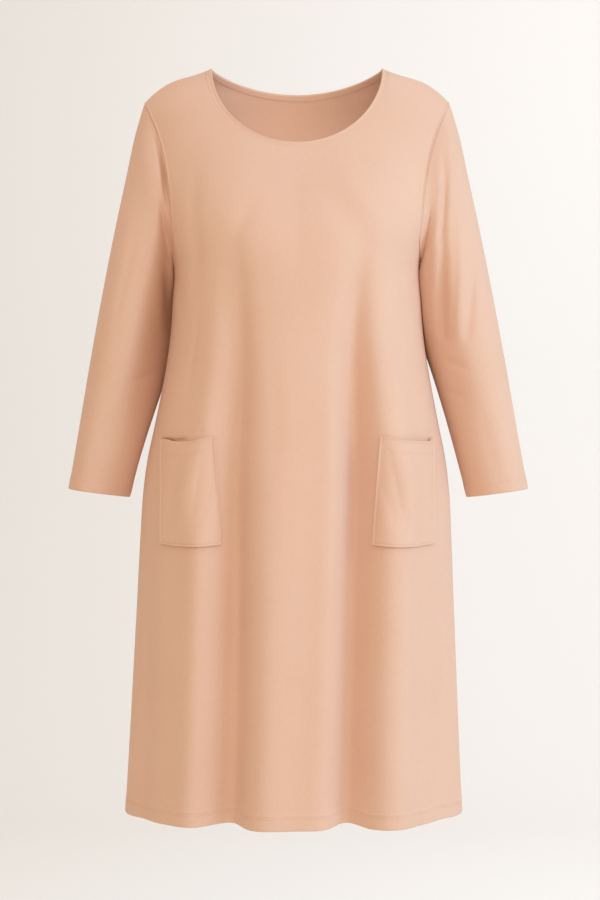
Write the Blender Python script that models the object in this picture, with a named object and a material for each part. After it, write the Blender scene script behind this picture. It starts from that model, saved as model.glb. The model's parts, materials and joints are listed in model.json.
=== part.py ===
"""A loose knee-length jersey dress with long narrow sleeves and two patch pockets, hollow as worn.

Metres, +Z up, +X towards the wearer's left, the front facing -Y. The origin lies midway between
the two shoulder seams where they meet the neck opening: there the wearer's shoulders hold it up.
"""

from collections import namedtuple

import bmesh
import bpy
import numpy as np

# The cloth and its sewing.
CLOTH = 0.0015  # wall of one layer of jersey
HEM_CLOTH = 0.0027  # wall where the edge is turned up and stitched
SEAM_GAP = 0.0003  # between the edges that a seam joins
SKIRT_HEM = 0.020
SLEEVE_HEM = 0.018
POCKET_HEM = 0.018

# The dress's own form, as rings from the hem up to the neck: half the width across, and how far
# the ring reaches to the front and to the back of the shoulder seams.
Section = namedtuple("Section", "height half_width front back")
SECTIONS = (
    Section(-1.034, 0.2349, 0.178, 0.166),
    Section(-0.950, 0.2306, 0.173, 0.161),
    Section(-0.840, 0.2255, 0.167, 0.154),
    Section(-0.730, 0.2205, 0.161, 0.148),
    Section(-0.650, 0.2170, 0.156, 0.142),
    Section(-0.590, 0.2135, 0.151, 0.136),
    Section(-0.545, 0.2078, 0.150, 0.131),
    Section(-0.500, 0.1985, 0.149, 0.126),
    Section(-0.455, 0.1895, 0.148, 0.121),
    Section(-0.410, 0.1815, 0.148, 0.118),
    Section(-0.370, 0.1763, 0.148, 0.116),
    Section(-0.330, 0.1737, 0.148, 0.116),
    Section(-0.275, 0.1720, 0.146, 0.118),
    Section(-0.235, 0.1840, 0.138, 0.120),
    Section(-0.190, 0.1990, 0.121, 0.119),
    Section(-0.140, 0.2095, 0.099, 0.113),
    Section(-0.095, 0.2145, 0.080, 0.102),
    Section(-0.050, 0.2135, 0.062, 0.084),
    Section(-0.034, 0.1980, 0.054, 0.073),
    Section(-0.0175, 0.1700, 0.046, 0.061),
    Section(-0.009, 0.1415, 0.042, 0.053),
    Section(0.0, 0.1185, 0.036, 0.042),
)
RING_POWER = 2.2  # 2 is an ellipse, more is squarer
HEM_DRIFT = -0.0045  # the skirt hangs this far off centre at the hem, and not at all above DRIFT_TOP
DRIFT_TOP = -0.45
HEM_HEIGHT = SECTIONS[0].height
UNDERARM_HEIGHT = -0.275
SHOULDER_TIP_HEIGHT = -0.050

# The armhole seam, seen from the front: its distance from the middle at each height.
ArmholePoint = namedtuple("ArmholePoint", "height across")
ARMHOLE = (
    ArmholePoint(-0.275, 0.1720),
    ArmholePoint(-0.262, 0.1680),
    ArmholePoint(-0.240, 0.1665),
    ArmholePoint(-0.213, 0.1690),
    ArmholePoint(-0.186, 0.1720),
    ArmholePoint(-0.162, 0.1760),
    ArmholePoint(-0.135, 0.1815),
    ArmholePoint(-0.111, 0.1880),
    ArmholePoint(-0.090, 0.1950),
    ArmholePoint(-0.071, 0.2035),
    ArmholePoint(-0.050, 0.2135),
)

# The scooped neck: the finished edge, and the binding that runs round it.
NECK_HALF_WIDTH = 0.1185
NECK_FRONT_DROP = 0.1145
NECK_BACK_DROP = 0.0252
BINDING_WIDTH = 0.008
BINDING_PROUD = 0.0004  # its fold stands this far above the cloth
BINDING_THICKNESS = 0.0027

# Lengthwise folds of the skirt: where each starts and how it runs down to the hem, as angles round
# the body from the centre front (wearer's left is positive, 180 is the centre back), the half
# widths in degrees, the share by which it leans (steeper on its left side), and how far it stands
# out at the hem (a hollow is negative).
Fold = namedtuple("Fold", "start full angle_start angle_middle angle_hem width_start width_hem lean out")
FOLDS = (
    Fold(-0.22, -0.80, -26.8, -21.4, -20.8, 7.6, 8.9, 0.22, -0.029),
    Fold(-0.22, -0.66, 28.2, 22.2, 17.6, 7.0, 7.4, 0.18, -0.031),
    Fold(-0.30, -0.90, -3.0, -5.5, -8.0, 10.0, 7.5, 0.0, 0.010),
    Fold(-0.36, -0.95, 13.0, 11.5, 9.0, 5.5, 6.0, 0.0, 0.010),
    Fold(-0.26, -0.80, -37.0, -33.0, -32.5, 8.5, 8.5, 0.0, 0.011),
    Fold(-0.26, -0.80, 41.0, 35.5, 31.0, 11.0, 10.0, 0.0, 0.021),
    Fold(-0.46, -0.95, -68.0, -65.0, -62.0, 9.0, 9.0, 0.0, -0.006),
    Fold(-0.46, -0.95, 68.0, 64.0, 60.0, 9.0, 9.0, 0.0, -0.006),
    Fold(-0.24, -0.78, 152.0, 155.0, 157.0, 8.5, 9.0, 0.15, -0.024),
    Fold(-0.24, -0.84, 211.0, 207.0, 205.0, 8.5, 9.0, -0.18, -0.026),
    Fold(-0.30, -0.90, 180.0, 181.0, 182.0, 12.0, 11.0, 0.0, 0.010),
    Fold(-0.40, -0.90, 128.0, 129.5, 130.0, 11.0, 12.0, 0.0, 0.010),
    Fold(-0.40, -0.90, 232.0, 231.0, 231.0, 11.0, 12.0, 0.0, 0.010),
    Fold(-0.50, -0.95, 108.0, 109.0, 110.0, 8.0, 8.0, 0.0, -0.006),
    Fold(-0.50, -0.95, 252.0, 251.5, 250.0, 8.0, 8.0, 0.0, -0.006),
)
FOLD_GROWTH = 0.7  # power of the fold's depth along its run, under 1 where it deepens early
HEM_LIFT = 0.14  # of a hollow's depth, by which the hem rises there
HEM_LIFT_TOP = -0.80

# General fullness of the bust.
BUST_ACROSS = 0.108
BUST_HEIGHT = -0.232
BUST_RADIUS = 0.062
BUST_OUT = 0.010

# The sleeve, as hoops from the armhole down to the hem: the outer and inner points seen from the
# front, how far each reaches forward and back, how much its sides bow towards the body, and how
# far its inner part hangs behind the body's side.
Hoop = namedtuple("Hoop", "outer_x outer_z inner_x inner_z front back bow behind")
HOOPS = (
    Hoop(0.2265, -0.093, 0.1700, -0.289, 0.066, 0.070, 0.010, 0.014),
    Hoop(0.2400, -0.155, 0.1625, -0.303, 0.068, 0.073, 0.006, 0.026),
    Hoop(0.2535, -0.217, 0.1600, -0.321, 0.068, 0.074, 0.003, 0.031),
    Hoop(0.2665, -0.281, 0.1615, -0.345, 0.066, 0.073, 0.0, 0.031),
    Hoop(0.2790, -0.345, 0.1735, -0.379, 0.062, 0.069, 0.0, 0.026),
    Hoop(0.2905, -0.407, 0.1890, -0.425, 0.058, 0.063, 0.0, 0.016),
    Hoop(0.3010, -0.466, 0.2052, -0.478, 0.054, 0.057, 0.0, 0.006),
    Hoop(0.3115, -0.526, 0.2215, -0.537, 0.050, 0.052, 0.0, 0.0),
    Hoop(0.3225, -0.586, 0.2375, -0.598, 0.047, 0.047, 0.0, 0.0),
)
SLEEVE_CLEAR = 0.0025  # at least this between a sleeve and the side that it hangs against
SLEEVE_START = 0.1  # of its length, over which a sleeve leaves the armhole seam's own shape
# How much closer to the body the left and the right sleeve hang at the hem, and how much further
# the inner side of each is tucked in around TUCK_PLACE of its length, over TUCK_REACH of it.
Hang = namedtuple("Hang", "closer tucked")
SLEEVE_HANGS = (Hang(0.0, 0.0), Hang(0.0035, 0.0040))
TUCK_PLACE = 0.64
TUCK_REACH = 0.2
# Soft lengthwise folds of a sleeve: the angle round it (0 outside, 90 front, 180 inside), half
# width in degrees, the stretch of the sleeve that it fills (0 armhole, 1 hem) and its depth.
SleeveFold = namedtuple("SleeveFold", "angle width middle reach out")
SLEEVE_FOLDS = (
    SleeveFold(62.0, 17.0, 0.45, 0.30, -0.0035),
    SleeveFold(118.0, 16.0, 0.42, 0.26, -0.0030),
    SleeveFold(255.0, 20.0, 0.50, 0.30, -0.0035),
)

# The patch pockets: the edge towards the middle slants, the outer one is upright.
POCKET_TOP = -0.517
POCKET_BOTTOM = -0.662
POCKET_INNER_TOP = 0.1115
POCKET_INNER_BOTTOM = 0.1030
POCKET_OUTER = 0.1870
POCKET_GAPE = 0.0026
POCKET_OFF = 0.0006  # between the pocket's back and the panel

# How finely the solids are cut.
NECK_COLUMNS = 22  # of a panel's columns, those that end at the neck; the binding has the same
SHOULDER_COLUMNS = 7  # those that end at each shoulder seam
NECK_SHARE = NECK_COLUMNS / (NECK_COLUMNS + 2 * SHOULDER_COLUMNS)
SKIRT_ROWS = 13
CHEST_ROWS = 11  # a sleeve has a column for each of the front's and of the back's
SLEEVE_ROWS = 15

CLOTH_COLOUR = (0.80, 0.52, 0.37, 1.0)
BINDING_COLOUR = (0.82, 0.54, 0.39, 1.0)
CLOTH_ROUGHNESS = 0.85

FRONT, BACK = -1.0, 1.0
LEFT, RIGHT = 1.0, -1.0  # the wearer's
STEP = 1e-4  # for slopes taken as differences


def column(table, name):
    return np.array([getattr(row, name) for row in table])


def through(at, knots, values):
    """The smooth curve through a table's points: cubic pieces, each point's slope from its neighbours."""
    knots, values = np.asarray(knots), np.asarray(values)
    slopes = np.gradient(values, knots, axis=0)
    at = np.asarray(at, float)
    piece = np.clip(np.searchsorted(knots, at) - 1, 0, len(knots) - 2)
    span = knots[piece + 1] - knots[piece]
    t = (at - knots[piece]) / span
    shape = t.shape + (1,) * (values.ndim - 1)
    t, span = t.reshape(shape), span.reshape(shape)
    start, end = values[piece], values[piece + 1]
    leaving, arriving = slopes[piece] * span, slopes[piece + 1] * span
    rise = t * t * (3 - 2 * t)
    return start + rise * (end - start) + t * (1 - t) * ((1 - t) * leaving - t * arriving)


def half_width(height):
    return through(height, column(SECTIONS, "height"), column(SECTIONS, "half_width"))


def depth(height, angle):
    """How far the ring reaches to the front or to the back, whichever side the angle is on."""
    heights = column(SECTIONS, "height")
    front = through(height, heights, column(SECTIONS, "front"))
    back = through(height, heights, column(SECTIONS, "back"))
    return np.where(np.cos(angle) > 0, front, back)


def unit(vectors):
    return vectors / np.linalg.norm(vectors, axis=-1, keepdims=True)


def ease(t):
    """0 before 0, 1 after 1, and a smooth rise between."""
    t = np.clip(t, 0, 1)
    return t * t * (3 - 2 * t)


def fold_out(angle, height):
    """How far the folds push the cloth out at this angle and height, as a sum of soft ridges."""
    total = np.zeros(np.broadcast(angle, height).shape)
    for fold in FOLDS:
        run = np.clip((fold.start - height) / (fold.start - fold.full), 0, 1)
        down = np.clip((fold.start - height) / (fold.start - HEM_HEIGHT), 0, 1)
        bend = 4 * down * (1 - down) * (fold.angle_middle - (fold.angle_start + fold.angle_hem) / 2)
        centre = fold.angle_start + (fold.angle_hem - fold.angle_start) * down + bend
        away = (np.degrees(angle) - centre + 180) % 360 - 180
        width = fold.width_start + (fold.width_hem - fold.width_start) * down
        width = width * (1 - fold.lean * np.sign(away))
        total = total + fold.out * ease(run**FOLD_GROWTH) * np.exp(-((away / width) ** 2))
    return total


def bust_out(across, height, angle):
    """The bust's fullness, a soft rounding on each side of the front."""
    away = (np.abs(across) - BUST_ACROSS) ** 2 + (height - BUST_HEIGHT) ** 2
    swell = BUST_OUT * np.exp(-away / (2 * BUST_RADIUS**2))
    return np.where(np.cos(angle) > 0, swell * np.clip(np.cos(angle), 0, 1), 0)


def body(angle, height):
    """The dress's outer face: a point at this angle round the body, at this height."""
    angle, height = np.broadcast_arrays(np.asarray(angle, float), np.asarray(height, float))
    wide, deep = half_width(height), depth(height, angle)
    sine, cosine = np.sin(angle), np.cos(angle)
    drift = HEM_DRIFT * np.clip((DRIFT_TOP - height) / (DRIFT_TOP - HEM_HEIGHT), 0, 1)
    across = wide * np.sign(sine) * np.abs(sine) ** (2 / RING_POWER) + drift
    forward = deep * np.sign(cosine) * np.abs(cosine) ** (2 / RING_POWER)
    lean = 2 - 2 / RING_POWER
    outward = np.stack(
        [
            np.sign(sine) * np.abs(sine) ** lean / wide,
            -np.sign(cosine) * np.abs(cosine) ** lean / deep,
            np.zeros_like(sine),
        ],
        -1,
    )
    folds = fold_out(angle, height)
    hanging = ease((HEM_LIFT_TOP - height) / (HEM_LIFT_TOP - HEM_HEIGHT))
    lifted = height - HEM_LIFT * np.minimum(folds, 0) * hanging
    out = folds + bust_out(across, height, angle)
    return np.stack([across, -forward, lifted], -1) + unit(outward) * out[..., None]


def body_normal(angle, height):
    """Square to the dress's face, from its slopes round the body and up it."""
    around = body(angle + STEP, height) - body(angle - STEP, height)
    up = body(angle, height + STEP) - body(angle, height - STEP)
    return unit(np.cross(around, up))


def angle_at(across, height, side):
    """The angle round the body of a point seen from the front (or back) at this distance across."""
    share = np.clip(np.abs(across) / half_width(height), 0, 1)
    angle = np.sign(across) * np.arcsin(share ** (RING_POWER / 2))
    return angle if side == FRONT else np.pi - angle


def shoulder_height(across):
    """The height of the shoulder seam at this distance across: the rings' width, read backwards."""
    heights = np.linspace(0.0, SHOULDER_TIP_HEIGHT, 400)
    return np.interp(across, half_width(heights), heights)


def neck_edge(turn, out, side):
    """The neck opening seen from the front: (across, height) at a turn from -90 to 90 degrees,
    out metres outside the finished edge. The front hangs as half an ellipse, the back as a
    shallow parabola."""
    wide = NECK_HALF_WIDTH + out
    top = shoulder_height(wide)
    low = (NECK_FRONT_DROP if side == FRONT else NECK_BACK_DROP) + out
    dip = np.cos(turn) if side == FRONT else np.cos(turn) ** 2
    return wide * np.sin(turn), top - (low + top) * dip


def armhole_loop(turn):
    """The armhole seam on the wearer's left, on the body's face. turn is 0 at the shoulder,
    90 degrees at the front and 180 under the arm."""
    middle = (SHOULDER_TIP_HEIGHT + UNDERARM_HEIGHT) / 2
    half = (SHOULDER_TIP_HEIGHT - UNDERARM_HEIGHT) / 2
    height = middle + half * np.cos(turn)
    across = through(height, column(ARMHOLE, "height"), column(ARMHOLE, "across"))
    angles = [angle_at(across, height, side) for side in (FRONT, BACK)]
    return body(np.where(np.sin(turn) > 0, *angles), height)


def armhole(turn):
    """The armhole seam's points, the way out of its loop at each, and the way from body to sleeve."""
    points = armhole_loop(turn)
    tip, pit = armhole_loop(np.array([0.0, np.pi]))
    away = np.cross(np.array([0.0, 1.0, 0.0]), unit(tip - pit))
    around = armhole_loop(turn + STEP) - armhole_loop(turn - STEP)
    outward = unit(np.cross(away, around))
    facing = np.sign(((points - (tip + pit) / 2) * outward).sum(-1, keepdims=True))
    return points, outward * facing, away


def top_edge(share, side):
    """A panel's top edge seen from the front: shoulder seam, neck, shoulder seam. share runs from
    -1 to 1 across the panel."""
    out = BINDING_WIDTH + SEAM_GAP
    neck_x, neck_z = neck_edge(np.clip(share / NECK_SHARE, -1, 1) * np.pi / 2, out, side)
    corner, tip = NECK_HALF_WIDTH + out, half_width(SHOULDER_TIP_HEIGHT)
    along = np.clip((np.abs(share) - NECK_SHARE) / (1 - NECK_SHARE), 0, 1)
    seam_x = corner + (tip - corner) * along
    on_neck = np.abs(share) < NECK_SHARE
    across = np.where(on_neck, neck_x, np.sign(share) * seam_x)
    return across, np.where(on_neck, neck_z, shoulder_height(seam_x))


def chest_places(share, rise, side):
    """The panel above the arms, (across, height): rows that turn from the level chest line to the
    top edge, between the two armholes."""
    wide, tip = half_width(UNDERARM_HEIGHT), half_width(SHOULDER_TIP_HEIGHT)
    base_x = wide * np.sign(share) * np.abs(np.sin(share * np.pi / 2)) ** (2 / RING_POWER)
    top_x, top_z = top_edge(share, side)
    round_rise = (1 - np.cos(rise * np.pi)) / 2  # the armhole's own spacing
    climb = rise + (round_rise - rise) * ease(np.abs(share) / NECK_SHARE)
    armhole_z = UNDERARM_HEIGHT + (SHOULDER_TIP_HEIGHT - UNDERARM_HEIGHT) * round_rise
    armhole_x = through(armhole_z, column(ARMHOLE, "height"), column(ARMHOLE, "across"))
    pulled_in = armhole_x - (wide + (tip - wide) * round_rise)
    across = base_x + (top_x - base_x) * climb + np.sign(share) * share**2 * pulled_in
    return across, UNDERARM_HEIGHT + (top_z - UNDERARM_HEIGHT) * climb


def panel(side):
    """A body panel's outer and inner faces in rows from the hem up, its edges set back half a gap."""
    share = np.linspace(-1, 1, NECK_COLUMNS + 2 * SHOULDER_COLUMNS + 1)
    above_hem = np.linspace(HEM_HEIGHT + SKIRT_HEM, UNDERARM_HEIGHT, SKIRT_ROWS)
    skirt = np.append(HEM_HEIGHT, above_hem)[:, None] + 0 * share
    rise = np.linspace(0, 1, CHEST_ROWS + 1)[1:, None]
    across, chest = chest_places(share, rise, side)
    turned = share * np.pi / 2 if side == FRONT else np.pi - share * np.pi / 2
    angles = np.concatenate([turned + 0 * skirt, angle_at(across, chest, side)])
    heights = np.concatenate([skirt, chest])
    outer, normal = body(angles, heights), body_normal(angles, heights)

    seam = np.zeros(angles.shape, bool)
    seam[: SKIRT_ROWS + 1, [0, -1]] = True
    seam[-1, : SHOULDER_COLUMNS + 1] = True
    seam[-1, -SHOULDER_COLUMNS - 1 :] = True
    normal[seam, 1] = 0
    outer[seam, 1] = side * SEAM_GAP / 2
    seam_points, seam_out, away = armhole(np.linspace(np.pi, 0, CHEST_ROWS + 1) * -side)
    seam_points = seam_points - away * SEAM_GAP / 2
    seam_points[[0, -1], 1] = side * SEAM_GAP / 2
    for edge, hand in ((0, RIGHT), (-1, LEFT)):
        outer[SKIRT_ROWS:, edge] = seam_points * (hand, 1, 1)
        normal[SKIRT_ROWS:, edge] = seam_out * (hand, 1, 1)
    wall = np.full(angles.shape, CLOTH)
    wall[:2] = HEM_CLOTH
    return outer, outer - unit(normal) * wall[..., None], grid_triangles(*angles.shape)


def hoop(row, turn):
    """One hoop of the sleeve: an ellipse between its outer and inner points, its sides bowed in
    and its inner part moved backwards."""
    swing = np.cos(turn)[:, None]
    reach = np.where(np.sin(turn) > 0, row.front, row.back)
    outer = np.array([row.outer_x, 0.0, row.outer_z])
    inner = np.array([row.inner_x, 0.0, row.inner_z])
    points = (outer + inner) / 2 + swing * (outer - inner) / 2
    points[:, 1] += row.behind * ease(-np.cos(turn)) - reach * np.sin(turn)
    points[:, 0] -= row.bow * np.sin(turn) ** 2
    return points


def body_side(forward, height):
    """How far out the body's ring reaches at this distance in front of or behind the side seam."""
    share = np.clip(np.abs(forward) / depth(height, np.where(forward < 0, 0.0, np.pi)), 0, 1)
    return half_width(height) * (1 - share**RING_POWER) ** (1 / RING_POWER)


def soft_larger(a, b, blend):
    """The larger of two values, rounded over where they cross."""
    return (a + b + np.sqrt((a - b) ** 2 + blend**2)) / 2


def sleeve_point(turn, along, hang):
    """The outer face of a sleeve on the wearer's left: the loft through the armhole seam and the
    hoops, pressed flat where it meets the body, with its folds. turn is a row of angles round the
    sleeve, along a row of places from 0 (armhole) to 1 (hem)."""
    seam, _, away = armhole(turn)
    loops = np.stack([seam + away * SEAM_GAP / 2] + [hoop(row, turn) for row in HOOPS])
    steps = np.linalg.norm(np.diff(loops.mean(axis=1), axis=0), axis=1)
    knots = np.concatenate([[0], np.cumsum(steps)]) / steps.sum()
    points = through(along, knots, loops)
    tucked = hang.tucked * np.exp(-(((along - TUCK_PLACE) / TUCK_REACH) ** 2))
    points[..., 0] -= hang.closer * along[:, None] + tucked[:, None] * (1 - np.cos(turn)) / 2
    side = body_side(points[..., 1], points[..., 2]) + SLEEVE_CLEAR
    pressed = soft_larger(points[..., 0], side, SLEEVE_CLEAR)
    started = ease(along / SLEEVE_START)[:, None]
    points[..., 0] += (pressed - points[..., 0]) * started
    centre = points.mean(axis=1, keepdims=True)
    outward = unit(points - centre)
    for fold in SLEEVE_FOLDS:
        away = (np.degrees(turn) - fold.angle + 180) % 360 - 180
        round_it = np.exp(-((away / fold.width) ** 2))
        down_it = np.exp(-(((along - fold.middle) / fold.reach) ** 4))[:, None] * started
        points = points + outward * (fold.out * down_it * round_it)[..., None]
    return points


def sleeve(hang):
    """A sleeve on the wearer's left, its outer and inner faces in closed hoops from the armhole down."""
    turn = np.linspace(0, 2 * np.pi, 2 * CHEST_ROWS, endpoint=False)
    length = np.hypot(HOOPS[-1].outer_x - HOOPS[0].outer_x, HOOPS[-1].outer_z - HOOPS[0].outer_z)
    along = np.append(np.linspace(0, 1 - SLEEVE_HEM / length, SLEEVE_ROWS), 1)
    points = sleeve_point(turn, along, hang)
    around = sleeve_point(turn + STEP, along, hang) - sleeve_point(turn - STEP, along, hang)
    down = sleeve_point(turn, along + STEP, hang) - sleeve_point(turn, along - STEP, hang)
    normal = unit(np.cross(down, around))
    centre = points.mean(axis=1, keepdims=True)
    facing = np.sign(((points - centre) * normal).sum(-1, keepdims=True).mean())
    normal = normal * facing
    _, normal[0], _ = armhole(turn)
    wall = np.full(len(along), CLOTH)
    wall[-2:] = HEM_CLOTH
    triangles = grid_triangles(*points.shape[:2], closed=True)
    return points, points - normal * wall[:, None, None], triangles


def binding():
    """The folded strip round the neck: closed hoops, from its seam over the finished edge and in."""
    section = np.array(  # share of the width from the finished edge, and depth below the cloth's face
        [
            (1.0, -BINDING_PROUD),
            (0.5, -1.6 * BINDING_PROUD),
            (0.14, -BINDING_PROUD),
            (0.0, BINDING_THICKNESS * 0.4),
            (0.14, BINDING_THICKNESS - BINDING_PROUD),
            (0.5, BINDING_THICKNESS),
            (1.0, BINDING_THICKNESS - BINDING_PROUD),
        ]
    )
    half = np.linspace(-np.pi / 2, np.pi / 2, NECK_COLUMNS, endpoint=False)
    hoops = []
    for share, sunk in section:
        faces = []
        for side in (FRONT, BACK):
            across, height = neck_edge(half, share * BINDING_WIDTH, side)
            across, height = (across, height) if side == FRONT else (-across, height)
            angles = angle_at(across, height, side)
            faces.append(body(angles, height) - body_normal(angles, height) * sunk)
        hoops.append(np.concatenate(faces))
    return np.stack(hoops)


def pocket(hand):
    """A pocket, cut out of the front panel's own faces and moved out from them: its outer and
    inner faces and their triangles. The mouth gapes a little in its middle."""
    face = panel(FRONT)[0]
    cloth = bmesh.new()
    corners = [cloth.verts.new(point) for point in face.reshape(-1, 3)]
    for triangle in grid_triangles(*face.shape[:2]):
        cloth.faces.new([corners[i] for i in triangle])
    slant = (POCKET_INNER_TOP - POCKET_INNER_BOTTOM) / (POCKET_TOP - POCKET_BOTTOM)
    cuts = (
        ((0, 0, POCKET_TOP), (0, 0, 1)),
        ((0, 0, POCKET_BOTTOM), (0, 0, -1)),
        ((hand * POCKET_OUTER, 0, 0), (hand, 0, 0)),
        ((hand * POCKET_INNER_BOTTOM, 0, POCKET_BOTTOM), (-hand, 0, slant)),
    )
    for point, way in cuts:
        bisect(cloth, point, way, clear_outer=True)
    bisect(cloth, (0, 0, POCKET_TOP - POCKET_HEM), (0, 0, 1), clear_outer=False)
    cloth.normal_update()
    cloth.verts.index_update()
    points = np.array([vertex.co for vertex in cloth.verts])
    normals = np.array([vertex.normal for vertex in cloth.verts])
    triangles = np.array([[vertex.index for vertex in part.verts] for part in cloth.faces])
    cloth.free()

    up = (points[:, 2] - POCKET_BOTTOM) / (POCKET_TOP - POCKET_BOTTOM)
    inner_x = POCKET_INNER_BOTTOM + (POCKET_INNER_TOP - POCKET_INNER_BOTTOM) * up
    aside = np.clip((hand * points[:, 0] - inner_x) / (POCKET_OUTER - inner_x), 0, 1)
    gape = POCKET_GAPE * np.sin(np.pi * aside) * up**3
    turned = points[:, 2] > POCKET_TOP - POCKET_HEM - STEP
    wall = np.where(turned, HEM_CLOTH, CLOTH)
    inner = points + normals * (POCKET_OFF + gape)[:, None]
    return inner + normals * wall[:, None], inner, triangles


def bisect(cloth, point, way, clear_outer):
    """Cut a sheet along a plane, into triangles again, and drop what lies beyond it if asked to."""
    everything = cloth.verts[:] + cloth.edges[:] + cloth.faces[:]
    bmesh.ops.bisect_plane(cloth, geom=everything, plane_co=point, plane_no=way, clear_outer=clear_outer)
    bmesh.ops.triangulate(cloth, faces=cloth.faces[:])


def grid_triangles(rows, columns, closed=False):
    """Triangles over a grid of points numbered row by row; closed joins each row's end to its start."""
    first = np.arange(rows - 1)[:, None] * columns + np.arange(columns if closed else columns - 1)
    second = first // columns * columns + (first + 1) % columns
    lower = np.stack([first, second, first + columns], -1)
    upper = np.stack([second, second + columns, first + columns], -1)
    return np.concatenate([lower, upper], axis=1).reshape(-1, 3)


def wall_mesh(name, outer, inner, triangles):
    """A cloth wall: the outer and inner faces and the strip round each open edge between them."""
    outer, inner = outer.reshape(-1, 3), inner.reshape(-1, 3)
    count = len(outer)
    sides = np.concatenate([triangles[:, [0, 1]], triangles[:, [1, 2]], triangles[:, [2, 0]]])
    used = sides @ (count, 1)
    open_ones = sides[~np.isin(used, sides @ (1, count))]
    a, b = open_ones.T
    strips = np.concatenate([np.stack([b, a, a + count], -1), np.stack([b, a + count, b + count], -1)])
    faces = np.concatenate([triangles, triangles[:, ::-1] + count, strips])
    return mesh(name, np.concatenate([outer, inner]), faces)


def ring_mesh(name, hoops):
    """A closed band: its section's points as closed hoops, joined round and round."""
    again = np.concatenate([hoops, hoops[:1]])
    triangles = grid_triangles(*again.shape[:2], closed=True) % (hoops.shape[0] * hoops.shape[1])
    return mesh(name, hoops.reshape(-1, 3), triangles)


def mesh(name, points, triangles):
    a, b, c = (points[triangles[:, corner]] for corner in range(3))
    if (a * np.cross(b, c)).sum() < 0:  # six times the space inside: the faces point inwards
        triangles = triangles[:, ::-1]
    data = bpy.data.meshes.new(name)
    data.from_pydata(points.tolist(), [], triangles.tolist())
    data.shade_smooth()
    return data


def material(name, colour, roughness):
    made = bpy.data.materials.new(name)
    made.use_nodes = True
    shader = made.node_tree.nodes["Principled BSDF"]
    shader.inputs["Base Color"].default_value = colour
    shader.inputs["Roughness"].default_value = roughness
    shader.inputs["Metallic"].default_value = 0.0
    return made


def place(name, data, finish, parent):
    piece = bpy.data.objects.new(name, data)
    data.materials.append(finish)
    piece.parent = parent
    bpy.context.scene.collection.objects.link(piece)


def main():
    for old in list(bpy.data.objects):
        bpy.data.objects.remove(old)
    dress = bpy.data.objects.new("dress", None)
    bpy.context.scene.collection.objects.link(dress)
    jersey = material("jersey", CLOTH_COLOUR, CLOTH_ROUGHNESS)
    trim = material("neck_binding", BINDING_COLOUR, CLOTH_ROUGHNESS)

    for name, side in (("front", FRONT), ("back", BACK)):
        place(name, wall_mesh(name, *panel(side)), jersey, dress)
    place("neck_binding", ring_mesh("neck_binding", binding()), trim, dress)
    for label, hand, hang in zip(("left", "right"), (LEFT, RIGHT), SLEEVE_HANGS):
        outer, inner, triangles = sleeve(hang)
        name = "sleeve_" + label
        place(name, wall_mesh(name, outer * (hand, 1, 1), inner * (hand, 1, 1), triangles), jersey, dress)
        name = "pocket_" + label
        place(name, wall_mesh(name, *pocket(hand)), jersey, dress)


main()
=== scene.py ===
# %% [markdown]
# # A loose jersey dress, hollow as worn
# The dress is a peach A-line made of one thin knit: a front, a back, two long narrow sleeves, a
# narrow binding round the scooped neck and two patch pockets. Nothing stiffens it, so its looks
# are the way that the cloth hangs: long soft folds from the bust to the hem, small creases where
# it is pulled, and fine sewing along its edges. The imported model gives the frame: its solids stay
# for collision, and each one is replaced here by a finer shell on the same form.

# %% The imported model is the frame
import json
from collections import namedtuple

import bpy
import numpy as np
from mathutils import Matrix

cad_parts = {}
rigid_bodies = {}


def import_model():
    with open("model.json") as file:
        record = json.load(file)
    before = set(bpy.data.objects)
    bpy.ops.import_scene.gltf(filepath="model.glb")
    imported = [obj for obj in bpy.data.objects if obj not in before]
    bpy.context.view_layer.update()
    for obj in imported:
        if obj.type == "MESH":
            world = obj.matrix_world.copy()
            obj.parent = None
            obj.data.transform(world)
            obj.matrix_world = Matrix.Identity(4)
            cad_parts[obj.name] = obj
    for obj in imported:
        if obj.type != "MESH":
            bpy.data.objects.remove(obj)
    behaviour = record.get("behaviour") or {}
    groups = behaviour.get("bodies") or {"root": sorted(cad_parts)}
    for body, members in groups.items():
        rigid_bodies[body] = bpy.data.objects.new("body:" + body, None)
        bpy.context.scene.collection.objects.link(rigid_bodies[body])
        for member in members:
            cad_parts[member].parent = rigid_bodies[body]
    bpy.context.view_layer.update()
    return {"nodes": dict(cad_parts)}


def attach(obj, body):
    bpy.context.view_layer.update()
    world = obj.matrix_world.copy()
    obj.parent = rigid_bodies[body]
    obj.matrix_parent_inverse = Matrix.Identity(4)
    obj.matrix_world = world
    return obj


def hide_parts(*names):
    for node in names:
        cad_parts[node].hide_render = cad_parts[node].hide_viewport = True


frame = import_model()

print("solids to dress:", ", ".join(sorted(frame["nodes"])))

# %% Sides and small helpers
FRONT, BACK = -1.0, 1.0
LEFT, RIGHT = 1.0, -1.0  # the wearer's
STEP = 1e-4  # for slopes taken as differences


def unit(vectors):
    """Each vector over its own length."""
    return vectors / np.linalg.norm(vectors, axis=-1, keepdims=True)


def between(first, last, share):
    """The first value, plus this share of the way to the last one."""
    return first + (last - first) * share


def power(value, to):
    """The size of a value to a power, with the value's own sign."""
    return np.sign(value) * np.abs(value) ** to


def ease(t):
    """0 before 0, 1 after 1, and the smooth rise 3tt - 2ttt between."""
    t = np.clip(t, 0, 1)
    return t * t * (3 - 2 * t)


def bump(distance, spread):
    """A soft bell: 1 in its middle, and e to the minus (distance over spread) squared around it."""
    return np.exp(-((distance / spread) ** 2))


def turned_from(angle, centre):
    """Degrees from a centre, from -180 to 180."""
    return (angle - centre + 180) % 360 - 180


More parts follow.
